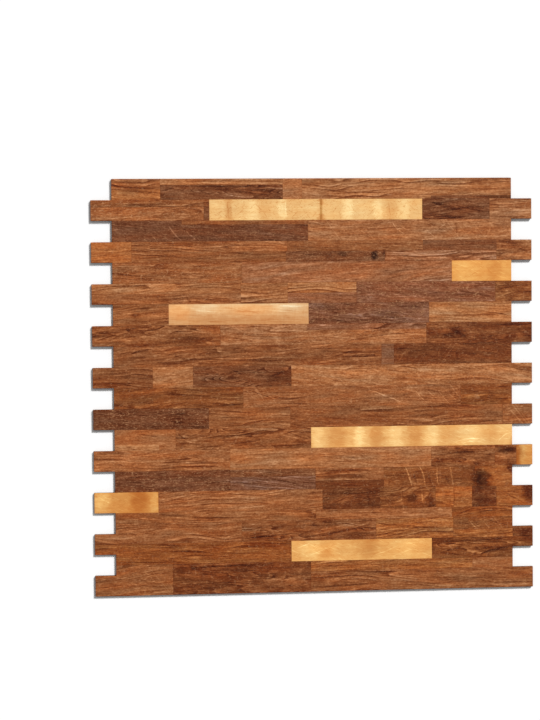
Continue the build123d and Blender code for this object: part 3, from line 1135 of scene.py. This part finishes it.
feed(grain, out["Bands"], grain_layer(11.0, length=90.0, width=4.0, detail=3.0))
feed(grain, out["Streaks"], sparse(grain, grain_layer(23.0, length=34.0, width=1.7, detail=3.0)))
feed(grain, out["Fibres"], sparse(grain, grain_layer(37.0, length=6.0, width=0.8, detail=2.0)))
growth = total(
    grain,
    calc(grain, "DIVIDE", across, ring),
    times(grain, grain_layer(3.0, length=50.0, width=9.0, detail=1.0), g["Swirl"]),
    times(grain, grain_layer(5.0, length=90.0, width=6.0, detail=1.0), 0.5),
)
year = calc(grain, "FRACT", growth)
year_end = step(grain, year, late_wood[1], 1.0)
late = times(grain, step(grain, year, *late_wood), inverse(grain, year_end))
early = inverse(grain, step(grain, year, *early_wood))
seen = step(grain, grain_layer(7.0, length=55.0, width=6.0, detail=1.0), -0.4, 0.6)
feed(grain, out["Rings"], times(grain, calc(grain, "SUBTRACT", late, times(grain, early, early_share)), seen))
print("group:", grain.name)

# %% [markdown]
# Dashes are the short marks of cut pores: noise again, but only its peaks are kept. Scratches are thin
# lines where a noise passes through its middle value, like the height lines on a map, with most of their
# length masked off.

# %% Dashes and scratches groups
dash_edge = 0.35
gate_edge = 0.3
dashes, g, out = effect(
    "Dashes",
    {"Position": (0.0, 0.0, 0.0), "Seed": 0.0, "Length": 5.0, "Width": 0.6, "Edge": 0.5},
    {"Mask": NUMBER},
)
x, y = xy(dashes, g["Position"])
peaks = stretched(dashes, x, y, g["Seed"], g["Length"], g["Width"], detail=1.0)
feed(dashes, out["Mask"], step(dashes, peaks, g["Edge"], calc(dashes, "ADD", g["Edge"], dash_edge)))

scratches, g, out = effect(
    "Scratches",
    {"Position": (0.0, 0.0, 0.0), "Seed": 0.0, "Length": 60.0, "Spacing": 5.0, "Thin": 0.1, "Gate": 0.0},
    {"Mask": NUMBER},
)
x, y = xy(scratches, g["Position"])
height = stretched(scratches, x, y, g["Seed"], g["Length"], g["Spacing"], detail=0.0)
line = inverse(scratches, step(scratches, calc(scratches, "ABSOLUTE", height), 0.0, g["Thin"]))
gate_length = times(scratches, g["Length"], 0.5)
gate_width = times(scratches, g["Spacing"], 1.5)
gate_seed = calc(scratches, "ADD", g["Seed"], 5.0)
broken = stretched(scratches, x, y, gate_seed, gate_length, gate_width, detail=1.0)
shown = step(scratches, broken, g["Gate"], calc(scratches, "ADD", g["Gate"], gate_edge))
feed(scratches, out["Mask"], times(scratches, line, shown))
print("groups:", dashes.name, scratches.name)

# %% [markdown]
# A mark is a knot, a burn, a silky patch or a painted highlight: an oval that is full near its middle and
# fades to its rim. It reads a place that has already been shaken by noise, so that its rim is ragged. The
# seam group finds how near a place is to its strip's edge.

# %% Mark and seam groups
full_share = 0.25
mark, g, out = effect(
    "Mark",
    {"Shaken": (0.0, 0.0, 0.0), "Centre": (0.0, 0.0, 0.0), "Reach": (5.0, 5.0, 1.0)},
    {"Fill": NUMBER},
)
apart = node(mark, "ShaderNodeVectorMath", operation="SUBTRACT")
feed(mark, apart.inputs[0], g["Shaken"])
feed(mark, apart.inputs[1], g["Centre"])
shares = node(mark, "ShaderNodeVectorMath", operation="DIVIDE")
feed(mark, shares.inputs[0], apart.outputs[0])
feed(mark, shares.inputs[1], g["Reach"])
far = node(mark, "ShaderNodeVectorMath", operation="LENGTH")
feed(mark, far.inputs[0], shares.outputs[0])
feed(mark, out["Fill"], inverse(mark, step(mark, far.outputs["Value"], full_share, 1.0)))

seam, g, out = effect(
    "Strip seam",
    {"Position": (0.0, 0.0, 0.0), "Cut": (0.0, 0.0, 0.0), "Top": 0.0, "Width": 0.25},
    {"Mask": NUMBER},
)
x, y = xy(seam, g["Position"])
cut = node(seam, "ShaderNodeSeparateXYZ")
feed(seam, cut.inputs[0], g["Cut"])
from_left = calc(seam, "SUBTRACT", x, cut.outputs[0])
from_right = calc(seam, "SUBTRACT", cut.outputs[1], x)
from_bottom = calc(seam, "SUBTRACT", y, cut.outputs[2])
from_top = calc(seam, "SUBTRACT", g["Top"], y)
nearest = calc(seam, "MINIMUM", from_left, from_right)
nearest = calc(seam, "MINIMUM", nearest, from_bottom)
nearest = calc(seam, "MINIMUM", nearest, from_top)
feed(seam, out["Mask"], inverse(seam, step(seam, nearest, 0.0, g["Width"])))
print("groups:", mark.name, seam.name)

# %% [markdown]
# The vein group draws one stroke. It finds how far along the stroke a place lies, from 0 to 1, and how far
# beside it. A hump that is zero at both ends and highest in the middle gives the stroke its bow and its
# tapering width.

# %% Vein group
inked_share = 0.3
room_least = 1e-6
vein, g, out = effect(
    "Vein",
    {"Position": (0.0, 0.0, 0.0), "Line": (0.0, 0.0, 0.0), "Rise": 0.0, "Form": (0.0, 0.0, 0.0)},
    {"Stops": NUMBER},
)
x, y = xy(vein, g["Position"])
line = node(vein, "ShaderNodeSeparateXYZ")
feed(vein, line.inputs[0], g["Line"])
start_x, start_y, run = line.outputs
form = node(vein, "ShaderNodeSeparateXYZ")
feed(vein, form.inputs[0], g["Form"])
bow, width, strength = form.outputs
from_x = calc(vein, "SUBTRACT", x, start_x)
from_y = calc(vein, "SUBTRACT", y, start_y)
share = total(vein, times(vein, from_x, run), times(vein, from_y, g["Rise"]))
beside = calc(vein, "SUBTRACT", times(vein, from_x, g["Rise"]), times(vein, from_y, run))
hump = times(vein, share, inverse(vein, share))
off = calc(vein, "ABSOLUTE", calc(vein, "SUBTRACT", beside, times(vein, hump, bow)))
room = calc(vein, "MAXIMUM", times(vein, hump, width), room_least)
ink = inverse(vein, step(vein, calc(vein, "DIVIDE", off, room), inked_share, 1.0))
feed(vein, out["Stops"], times(vein, ink, strength))
print("group:", vein.name)

# %% [markdown]
# The tone group turns stops into colour. Wood doesn't get darker evenly: walnut keeps its red and loses
# green and blue, maple turns golden. So each colour channel has its own slope, and the tone is multiplied
# by two to the power of slope times stops. Warmth is added to that power with a share of its own for each
# channel: above zero it makes the wood more golden, below zero greyer.

# %% Tone group
warmth_shares = (0.1, -0.1, -0.35)
toned, g, out = effect(
    "Tone in stops",
    {"Tone": (0.5, 0.5, 0.5, 1.0), "Stops": 0.0, "Slope": (0.7, 1.0, 1.3), "Warmth": 0.0},
    {"Color": COLOUR},
)
slope = node(toned, "ShaderNodeSeparateXYZ")
feed(toned, slope.inputs[0], g["Slope"])
tone = node(toned, "ShaderNodeSeparateColor")
feed(toned, tone.inputs[0], g["Tone"])
joined = node(toned, "ShaderNodeCombineColor")
for channel, warmth_share in enumerate(warmth_shares):
    darkening = times(toned, slope.outputs[channel], g["Stops"])
    exponent = total(toned, darkening, times(toned, g["Warmth"], warmth_share))
    power = calc(toned, "POWER", 2.0, exponent)
    feed(toned, joined.inputs[channel], times(toned, tone.outputs[channel], power))
feed(toned, out["Color"], joined.outputs[0])
print("group:", toned.name)

# %% [markdown]
# Every material of the board starts and ends in the same way: a Principled shader, fed with a colour, a
# roughness and a shallow bump for the relief that is too fine for the mesh.

# %% Starting and finishing a material
bump_depth = 0.0001


def new_material(name):
    """An empty node material with its shader on the output."""
    material = bpy.data.materials.new(name)
    material.use_nodes = True
    tree = material.node_tree
    tree.nodes.clear()
    shader = node(tree, "ShaderNodeBsdfPrincipled")
    tree.links.new(shader.outputs[0], node(tree, "ShaderNodeOutputMaterial").inputs["Surface"])
    return material, tree, shader


def dress(tree, shader, colour, roughness, specular, relief, relief_strength):
    """Feeds the shader: its colour and roughness, how much it mirrors, and the height of its fine relief."""
    feed(tree, shader.inputs["Base Color"], colour)
    feed(tree, shader.inputs["Roughness"], roughness)
    shader.inputs["Specular IOR Level"].default_value = specular
    bump = node(tree, "ShaderNodeBump")
    bump.inputs["Strength"].default_value = relief_strength
    bump.inputs["Distance"].default_value = bump_depth
    feed(tree, bump.inputs["Height"], relief)
    feed(tree, shader.inputs["Normal"], bump.outputs[0])


print("relief", 1000 * bump_depth, "mm deep")

# %% [markdown]
# Both woods read the same things: the place on the board in millimetres, that place shaken by noise, what
# the face's attributes say about its strip, and the strip's veins. The veins read a place that is shaken
# only a little, so that they waver without breaking up, and their strength is uneven along their run.

# %% What both woods read
shakes = ((3.0, 6.0, 4.0, 2.2), (9.0, 8.0, 3.0, 1.4))
vein_shake = 0.25
seam_width = 0.4
wood_specular = 0.1


def strip_material(name):
    """A new material, and a dictionary of what both woods read. The place is shaken across and up, each time
    by a noise with its own seed, length and width, times a push in millimetres."""
    material, tree, shader = new_material(name)
    scaled = node(tree, "ShaderNodeVectorMath", operation="SCALE")
    feed(tree, scaled.inputs[0], node(tree, "ShaderNodeTexCoord").outputs["Object"])
    scaled.inputs["Scale"].default_value = 1000.0
    place = scaled.outputs[0]
    x, y = xy(tree, place)
    shaken = node(tree, "ShaderNodeCombineXYZ")
    for socket, part, (number, length, width, push) in zip(shaken.inputs, (x, y), shakes):
        noise = stretched(tree, x, y, number, length, width, detail=3.0, roughness=0.65)
        feed(tree, socket, ramp(tree, noise, push, part))
    steady = mixed(tree, "VECTOR", vein_shake, place, shaken.outputs[0])

    tone, figure, blotch, cut, seed = (
        node(tree, "ShaderNodeAttribute", attribute_name="strip_" + label).outputs
        for label in ("tone", "figure", "blotch", "cut", "seed")
    )
    weights = node(tree, "ShaderNodeSeparateColor")
    feed(tree, weights.inputs[0], figure["Color"])
    edges = {"Position": place, "Cut": cut["Color"], "Top": cut["Alpha"], "Width": seam_width}
    strokes = []
    for slot in range(slot_count):
        line = node(tree, "ShaderNodeAttribute", attribute_name=f"vein_line_{slot}").outputs
        form = node(tree, "ShaderNodeAttribute", attribute_name=f"vein_form_{slot}").outputs
        ends = {"Position": steady, "Line": line["Vector"], "Rise": line["Alpha"]}
        strokes.append(placed(tree, vein, {**ends, "Form": form["Vector"]})["Stops"])
    uneven = ramp(tree, stretched(tree, x, y, 5.0, length=4.0, width=1.5, detail=1.0), gain=0.45, start=1.0)
    read = {
        "tree": tree,
        "place": place,
        "x": x,
        "y": y,
        "shaken": shaken.outputs[0],
        "tone": tone["Color"],
        "seed": seed["Fac"],
        "weights": [*weights.outputs, figure["Alpha"], blotch["Fac"]],
        "seam": placed(tree, seam, edges)["Mask"],
        "veins": times(tree, total(tree, *strokes), uneven),
    }
    return material, tree, shader, read


print("both woods read", slot_count, "vein slots")

# %% [markdown]
# The layers of a wood are listed as numbers and placed by these helpers. Each layer adds a number of its
# own to the strip's seed, so that no two layers and no two strips share a pattern.

# %% Layers of a wood
any_height = 1000.0


def own(read, number):
    """The strip's seed moved on, so that each layer has a noise of its own."""
    return calc(read["tree"], "ADD", read["seed"], number)


def clouds(read, layer, y):
    """One layer of noise: its seed, length, width, detail and roughness."""
    seed, length, width, detail, roughness = layer
    return stretched(read["tree"], read["x"], y, own(read, seed), length, width, detail, roughness)


def dash_mask(read, seed, length, width, edge, lean=0.0):
    """Dashes so long and so wide that lean by an angle in degrees. A higher edge leaves fewer of them."""
    tree = read["tree"]
    place = turned(tree, read["place"], lean) if lean else read["place"]
    values = {"Position": place, "Seed": own(read, seed), "Length": length, "Width": width, "Edge": edge}
    return placed(tree, dashes, values)["Mask"]


def scratch_mask(read, place, seed, length, spacing, thin, gate):
    """Scratches so long, so far apart and so thin. A higher gate leaves fewer of them."""
    values = {"Length": length, "Spacing": spacing, "Thin": thin, "Gate": gate}
    return placed(read["tree"], scratches, {"Position": place, "Seed": own(read, seed), **values})["Mask"]


def add_marks(read, marks):
    """All the marks added up. Each is its middle, half its length, half its height and its strength."""
    tree = read["tree"]
    parts = []
    for x, y, half_length, half_width, strength in marks:
        values = {"Centre": (x, y, 0.0), "Reach": (half_length, half_width, any_height)}
        fill = placed(tree, mark, {"Shaken": read["shaken"], **values})["Fill"]
        parts.append(times(tree, fill, strength))
    return total(tree, *parts)


def wood_tone(read, stops, slope, warmth):
    """The strip's tone, darker or paler by stops and changed in warmth."""
    values = {"Tone": read["tone"], "Stops": stops, "Slope": slope, "Warmth": warmth}
    return placed(read["tree"], toned, values)["Color"]


print("marks, dashes, scratches and clouds are ready")

# %% [markdown]
# Knots, burns and dark ends of the walnut sit where the strips show them, so they are listed as marks. A
# mark is its middle, half its length, half its height and its stops. A glow has the same numbers, but
# changes the warmth: burnt wood is greyer than wood that is only dark.

# %% Walnut marks
walnut_marks = [
    (101, 122.5, 13, 3.0, -0.9),
    (122, 127, 8, 2.5, -0.7),
    (44, 94, 3.0, 5.0, -2.8),
    (51.5, 95.5, 2.2, 4.0, -1.6),
    (21, 95, 5.0, 2.4, -1.3),
    (12, 93, 4.0, 1.8, -0.9),
    (-123, 57.5, 6.5, 2.2, -1.1),
    (-129, 52.5, 5.0, 1.8, -0.8),
    (105, 38, 10, 5.0, -0.6),
    (151, 43.6, 17, 2.4, -1.0),
    (148, 35.5, 8.0, 4.5, 0.3),
    (158, 37, 6.0, 8.0, -0.7),
    (-100, -22, 12, 6.0, -0.6),
    (141.5, -48.5, 10, 3.8, -2.0),
    (107, -49, 14, 3.5, -0.7),
    (118.5, -68, 5.5, 13, -1.6),
    (123, -70.5, 8.0, 9.0, -2.5),
    (101, -68, 15, 8.0, -0.25),
    (144, -62, 4.5, 6.0, -2.0),
    (135, -67, 12, 10, 0.5),
    (70.5, -83, 5.5, 6.5, -1.7),
    (84, -84, 3.6, 6.5, -1.2),
    (122, -83, 9.0, 9.0, -0.5),
    (159, -79, 9.0, 12, -2.5),
    (156, -112, 8.0, 7.0, -1.2),
    (30, -109, 15, 4.0, -0.7),
    (-42, -107.5, 12, 2.6, -0.9),
    (-70, -131, 40, 2.0, -0.7),
]
walnut_glow = [
    (44.5, 94, 3.5, 5.0, -2.4),
    (21, 95, 6.0, 3.0, -1.2),
    (121.5, -69.5, 7.0, 10, -3.0),
    (119, -84, 6.0, 7.0, -0.8),
    (141.5, -48.5, 10, 3.8, -1.2),
    (70.5, -83, 5.5, 6.5, -1.0),
    (135, -68, 12, 8.0, 0.3),
]
print(len(walnut_marks), "marks and", len(walnut_glow), "glows on walnut")

# %% [markdown]
# Walnut adds up the grain's layers, ring lines, dark flames, dark pores, slanting scratches and cloudy
# blotches, each by the strip's own weight, and then its veins and marks. A negative scratch weight mirrors
# the place, so that the scratches lean the other way. A soft limit keeps the palest threads from turning
# white: it is the number of stops from the strip's own green to the palest green.

# %% Walnut in stops
palest_green = 0.27
limit_softness = 0.5
flame_push = 4.0
scratch_lean = -52.0
walnut_clouds = {
    "dust": (43.0, 1.4, 0.9, 1.0, 0.5),
    "swirl": (51.0, 26.0, 8.0, 1.0, 0.5),
    "flames": (57.0, 45.0, 5.0, 2.0, 0.5),
    "blotches": (79.0, 11.0, 5.0, 4.0, 0.65),
    "drift": (83.0, 60.0, 25.0, 1.0, 0.5),
    "warmth": (87.0, 30.0, 5.0, 2.0, 0.5),
}
walnut, tree, shader, read = strip_material("walnut_strip")
place, x, y = read["place"], read["x"], read["y"]
streak_w, flame_w, fleck_w, scratch_w, blotch_w = read["weights"]
growth = {"Sway": 2.0, "Lean": 0.16, "Ring": 3.6, "Swirl": ramp(tree, flame_w, gain=2.6, start=0.5)}
lines = placed(tree, grain, {"Position": place, "Seed": read["seed"], **growth})
ring_w = total(tree, times(tree, streak_w, -1.0), times(tree, flame_w, -0.7), -0.35)
swirl_y = ramp(tree, clouds(read, walnut_clouds["swirl"], y), flame_push, y)
flames = step(tree, clouds(read, walnut_clouds["flames"], swirl_y), 0.0, 0.7)
pore = dash_mask(read, 67.0, length=3.5, width=0.7, edge=0.55)
mirrored = node(tree, "ShaderNodeCombineXYZ")
feed(tree, mirrored.inputs[0], times(tree, x, calc(tree, "SIGN", scratch_w)))
feed(tree, mirrored.inputs[1], y)
slanting = turned(tree, mirrored.outputs[0], scratch_lean)
scratch = scratch_mask(read, slanting, 73.0, length=220.0, spacing=5.0, thin=0.1, gate=0.1)
scratch = times(tree, scratch, calc(tree, "ABSOLUTE", scratch_w))
stops = total(
    tree,
    times(tree, lines["Bands"], ramp(tree, streak_w, gain=0.33, start=0.12)),
    times(tree, lines["Streaks"], ramp(tree, streak_w, gain=0.5, start=0.5)),
    times(tree, lines["Fibres"], 0.95),
    times(tree, clouds(read, walnut_clouds["dust"], y), 0.5),
    times(tree, lines["Rings"], ring_w),
    times(tree, flames, flame_w, -0.9),
    times(tree, pore, -0.8),
    times(tree, scratch, 0.55),
    times(tree, clouds(read, walnut_clouds["blotches"], y), blotch_w, 1.2),
    times(tree, clouds(read, walnut_clouds["drift"], y), 0.15),
    times(tree, read["seam"], -0.5),
    times(tree, read["veins"], 1.6),
    add_marks(read, walnut_marks),
)
tone = node(tree, "ShaderNodeSeparateColor")
feed(tree, tone.inputs[0], read["tone"])
headroom = calc(tree, "LOGARITHM", calc(tree, "DIVIDE", palest_green, tone.outputs[1]), 2.0)
stops = calc(tree, "SMOOTH_MIN", stops, headroom, limit_softness)
print("walnut nodes for its stops:", len(tree.nodes))

# %% [markdown]
# The stops become a colour, and slow clouds along the grain make it warmer and cooler. Pale dust lies in
# the open pores: flecks, specks and hair-fine scratches mix a pale tone into the wood. The finish is satin,
# a little smoother on the hard fibres, and pores and seams are pressed into the relief.

# %% Walnut in colour
dust_tone = (212, 158, 112)
most_dust = 0.6
warm_clouds = clouds(read, walnut_clouds["warmth"], lines["Across"])
warmth = ramp(tree, warm_clouds, 1.3, add_marks(read, walnut_glow))
body = wood_tone(read, stops, (0.68, 1.0, 1.35), warmth)
fleck = dash_mask(read, 61.0, length=3.0, width=0.6, edge=0.45)
speck = dash_mask(read, 69.0, length=1.3, width=0.8, edge=0.55)
hair = scratch_mask(read, place, 71.0, length=5.0, spacing=2.6, thin=0.15, gate=0.15)
dust = total(
    tree,
    times(tree, fleck, fleck_w, 0.3),
    times(tree, speck, ramp(tree, fleck_w, gain=0.22, start=0.08)),
    times(tree, hair, ramp(tree, fleck_w, gain=0.25, start=0.12)),
    times(tree, scratch, 0.1),
)
dust_share = calc(tree, "MINIMUM", dust, most_dust)
dusted = mixed(tree, "RGBA", dust_share, body, (*(linear(dust_tone) / light_level), 1.0))
roughness = ramp(tree, lines["Fibres"], gain=-0.06, start=0.62)
relief = total(tree, lines["Fibres"], times(tree, pore, -0.6), times(tree, read["seam"], -2.0))
dress(tree, shader, dusted, roughness, wood_specular, relief, relief_strength=0.25)
print("walnut nodes:", len(tree.nodes))

# %% [markdown]
# Maple shows silky bands where its fibres rise and fall. They sit where the strips show them, so they are
# marks as well. One pale mark along the top edge of the maple finger at the right end of its row is a
# painted highlight. The glows make a strip's end more golden or its middle greyer.

# %% Maple marks and a painted highlight
maple_marks_and_painted_highlight = [
    (-61, 127.5, 4.0, 16, -0.5),
    (-44, 127.5, 6.0, 16, 0.3),
    (-35, 127.5, 6.0, 16, -0.2),
    (-22.5, 128, 5.0, 16, 0.45),
    (-10, 127, 9.0, 14, -0.1),
    (6, 121.5, 4.0, 4.0, -0.6),
    (6, 133.5, 4.0, 4.0, -0.6),
    (25, 127.5, 6.0, 16, 0.45),
    (47, 127.5, 4.5, 16, 0.35),
    (57, 127.5, 6.0, 16, -0.3),
    (66, 127, 6.0, 16, 0.25),
    (2, -37, 6.0, 16, 0.35),
    (16, -37, 10, 16, -0.5),
    (32, -37, 6.0, 16, 0.6),
    (45, -37, 8.5, 16, -0.55),
    (59, -38, 7.0, 16, 0.45),
    (73, -37, 8.5, 16, -0.6),
    (86, -37, 7.0, 16, 0.4),
    (98, -36, 8.0, 12, -0.2),
    (115, -36, 11, 14, 0.4),
    (130, -38, 6.0, 14, -0.25),
    (141, -35, 6.0, 12, 0.2),
    (-55, 45.5, 75, 9.0, -0.45),
    (-55, 57.5, 75, 7.5, 0.42),
    (-78, 57, 12, 5.0, 0.15),
    (-98, 56, 13, 6.0, 0.25),
    (-20, 57.5, 16, 4.5, 0.35),
    (-3, -119, 11, 14, 0.4),
    (37, -117, 14, 14, -0.5),
    (8, -122, 6.0, 6.0, -0.3),
    (68, -118, 15, 14, 0.2),
    (113, 82, 12, 14, 0.25),
    (133, 82, 8.0, 14, -0.35),
    (147, -52, 6.5, 16, -1.5),
    # painted highlight: the top edge of this finger made paler, as if light caught it
    (155, -46, 10, 6.0, 0.4),
    (-154, -80, 9.0, 14, 0.75),
    (-128, -82, 9.0, 14, -0.75),
    (-117, -82, 4.0, 14, 0.4),
]
maple_glow = [
    (-98, 55, 14, 9.0, 1.3),
    (-46, 56, 30, 6.0, 1.05),
    (-18, 57, 14, 4.0, -0.4),
    (4, -119, 15, 9.0, 0.5),
    (37, -117, 13, 14, -0.35),
    (72, -119, 18, 9.0, 0.4),
    (149, -50, 9.0, 12, -1.0),
]
print(len(maple_marks_and_painted_highlight), "marks and", len(maple_glow), "glows on maple")

# %% [markdown]
# Maple adds up the same grain, only fainter, with short brown ticks that lean both ways, pale slanting
# strokes, silky clouds across the strip and a fine hatching across the grain, and then its veins, its marks
# and one painted highlight.
# It is polished a little smoother than the walnut.

# %% Maple
maple_clouds = {
    "silk": (83.0, 14.0, 40.0, 2.0, 0.5),
    "shade": (89.0, 6.0, 3.0, 2.0, 0.5),
    "hatching": (97.0, 0.9, 4.0, 1.0, 0.5),
    "warmth": (101.0, 18.0, 8.0, 2.0, 0.5),
}
maple, tree, shader, read = strip_material("maple_strip")
y = read["y"]
streak_w, tick_w, stroke_w, hatch_w, silk_w = read["weights"]
lines = placed(tree, grain, {"Position": read["place"], "Seed": read["seed"], "Sway": 1.2, "Lean": 0.1})
tick = dash_mask(read, 61.0, length=2.6, width=0.6, edge=0.5, lean=35.0)
other_tick = dash_mask(read, 67.0, length=2.6, width=0.6, edge=0.55, lean=-40.0)
stroke = dash_mask(read, 71.0, length=7.0, width=0.8, edge=0.45, lean=-24.0)
stops = total(
    tree,
    times(tree, lines["Bands"], streak_w, 0.3),
    times(tree, lines["Streaks"], ramp(tree, streak_w, gain=0.12, start=0.08)),
    times(tree, lines["Fibres"], 0.2),
    times(tree, calc(tree, "MAXIMUM", tick, other_tick), tick_w, -0.6),
    times(tree, stroke, stroke_w, 0.32),
    times(tree, clouds(read, maple_clouds["silk"], y), silk_w, 0.35),
    times(tree, clouds(read, maple_clouds["shade"], y), 0.1),
    times(tree, clouds(read, maple_clouds["hatching"], y), hatch_w, 0.16),
    times(tree, read["seam"], -0.3),
    read["veins"],
    add_marks(read, maple_marks_and_painted_highlight),
)
warmth = ramp(tree, clouds(read, maple_clouds["warmth"], y), 0.35, add_marks(read, maple_glow))
colour = wood_tone(read, stops, (0.48, 1.0, 1.5), warmth)
roughness = ramp(tree, lines["Fibres"], gain=-0.06, start=0.46)
relief = total(tree, lines["Fibres"], times(tree, read["seam"], -2.0))
dress(tree, shader, colour, roughness, wood_specular, relief, relief_strength=0.2)
print("maple nodes:", len(tree.nodes))

# %% [markdown]
# The cut edge shows the brown core of the board in fine level layers, and the back its plain pale paper.
# Both are one tone with faint clouds in it.


# %% Core and back paper
def plain_material(name, tone, slope, roughness, layers):
    """A plain stuff with faint clouds. Each layer is a length, a width, a height and a strength in stops."""
    material, tree, shader = new_material(name)
    place = node(tree, "ShaderNodeSeparateXYZ")
    feed(tree, place.inputs[0], node(tree, "ShaderNodeTexCoord").outputs["Object"])
    parts = []
    for *sizes, strength in layers:
        shares = [times(tree, part, 1000 / size) for part, size in zip(place.outputs, sizes)]
        parts.append(times(tree, cloud(tree, *shares, detail=3.0, roughness=0.6), strength))
    stops = total(tree, *parts)
    colour = placed(tree, toned, {"Tone": (*linear(tone), 1.0), "Stops": stops, "Slope": slope})["Color"]
    worn = ramp(tree, stops, gain=0.1, start=roughness)
    dress(tree, shader, colour, worn, specular=0.25, relief=stops, relief_strength=0.2)
    return material


core_layers = [(9.0, 9.0, 0.7, 0.25), (0.8, 0.8, 0.25, 0.3)]
paper_layers = [(60.0, 40.0, 9.0, 0.06), (1.6, 0.7, 1.0, 0.06)]
core = plain_material("core_edge", (92, 60, 38), (0.8, 1.0, 1.1), 0.75, core_layers)
paper = plain_material("release_paper", (222, 214, 198), (0.9, 1.0, 1.2), 0.6, paper_layers)
print("plain materials:", core.name, paper.name)

# %% [markdown]
# The board gets its four materials in the order that its faces name them. It rides on the panel's one body
# and stands in the place of the plain solid, which has the same outline.

# %% The board in its place
for material in (walnut, maple, core, paper):
    board_mesh.materials.append(material)
board_mesh.polygons.foreach_set("material_index", material_of_face.astype(np.int32))
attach(board, "root")
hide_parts("wall_panel")
print("materials:", [m.name for m in board_mesh.materials])

# %% [markdown]
# A white floor, one soft light from the upper right and an even pale surround, as in a product studio. The
# light is far away, so it falls evenly on the whole board, and its disc is wide in the sky, so the shadows
# stay soft. The floor lies a hair below the board and reaches so far that no view shows its end.

# %% Floor and light
floor_reach = 30.0
floor_z = -0.0001
bpy.context.scene.view_settings.view_transform = "Standard"
floor_mesh = bpy.data.meshes.new("floor")
floor_signs = ((-1, -1), (1, -1), (1, 1), (-1, 1))
floor_corners = [(floor_reach * right, floor_reach * up, floor_z) for right, up in floor_signs]
floor_mesh.from_pydata(floor_corners, [], [(0, 1, 2, 3)])
floor = bpy.data.objects.new("floor", floor_mesh)
bpy.context.scene.collection.objects.link(floor)
floor_paint = bpy.data.materials.new("floor_white")
floor_paint.use_nodes = True
paint = floor_paint.node_tree.nodes["Principled BSDF"].inputs
paint["Base Color"].default_value = (0.95, 0.95, 0.95, 1)
paint["Roughness"].default_value = 0.9
paint["Specular IOR Level"].default_value = 0.1
floor_mesh.materials.append(floor_paint)

light = bpy.data.objects.new("key_light", bpy.data.lights.new("key_light", "SUN"))
bpy.context.scene.collection.objects.link(light)
light.data.angle = radians(12.0)
light.data.energy = 3.19
light.location = (1.0, 1.4, 2.0)
light.rotation_euler = (-light.location).to_track_quat("-Z", "Y").to_euler()
world = bpy.data.worlds.new("surround")
bpy.context.scene.world = world
world.use_nodes = True
surround = world.node_tree.nodes["Background"].inputs
surround["Color"].default_value = (1, 1, 1, 1)
surround["Strength"].default_value = 0.32
print("light and floor set")
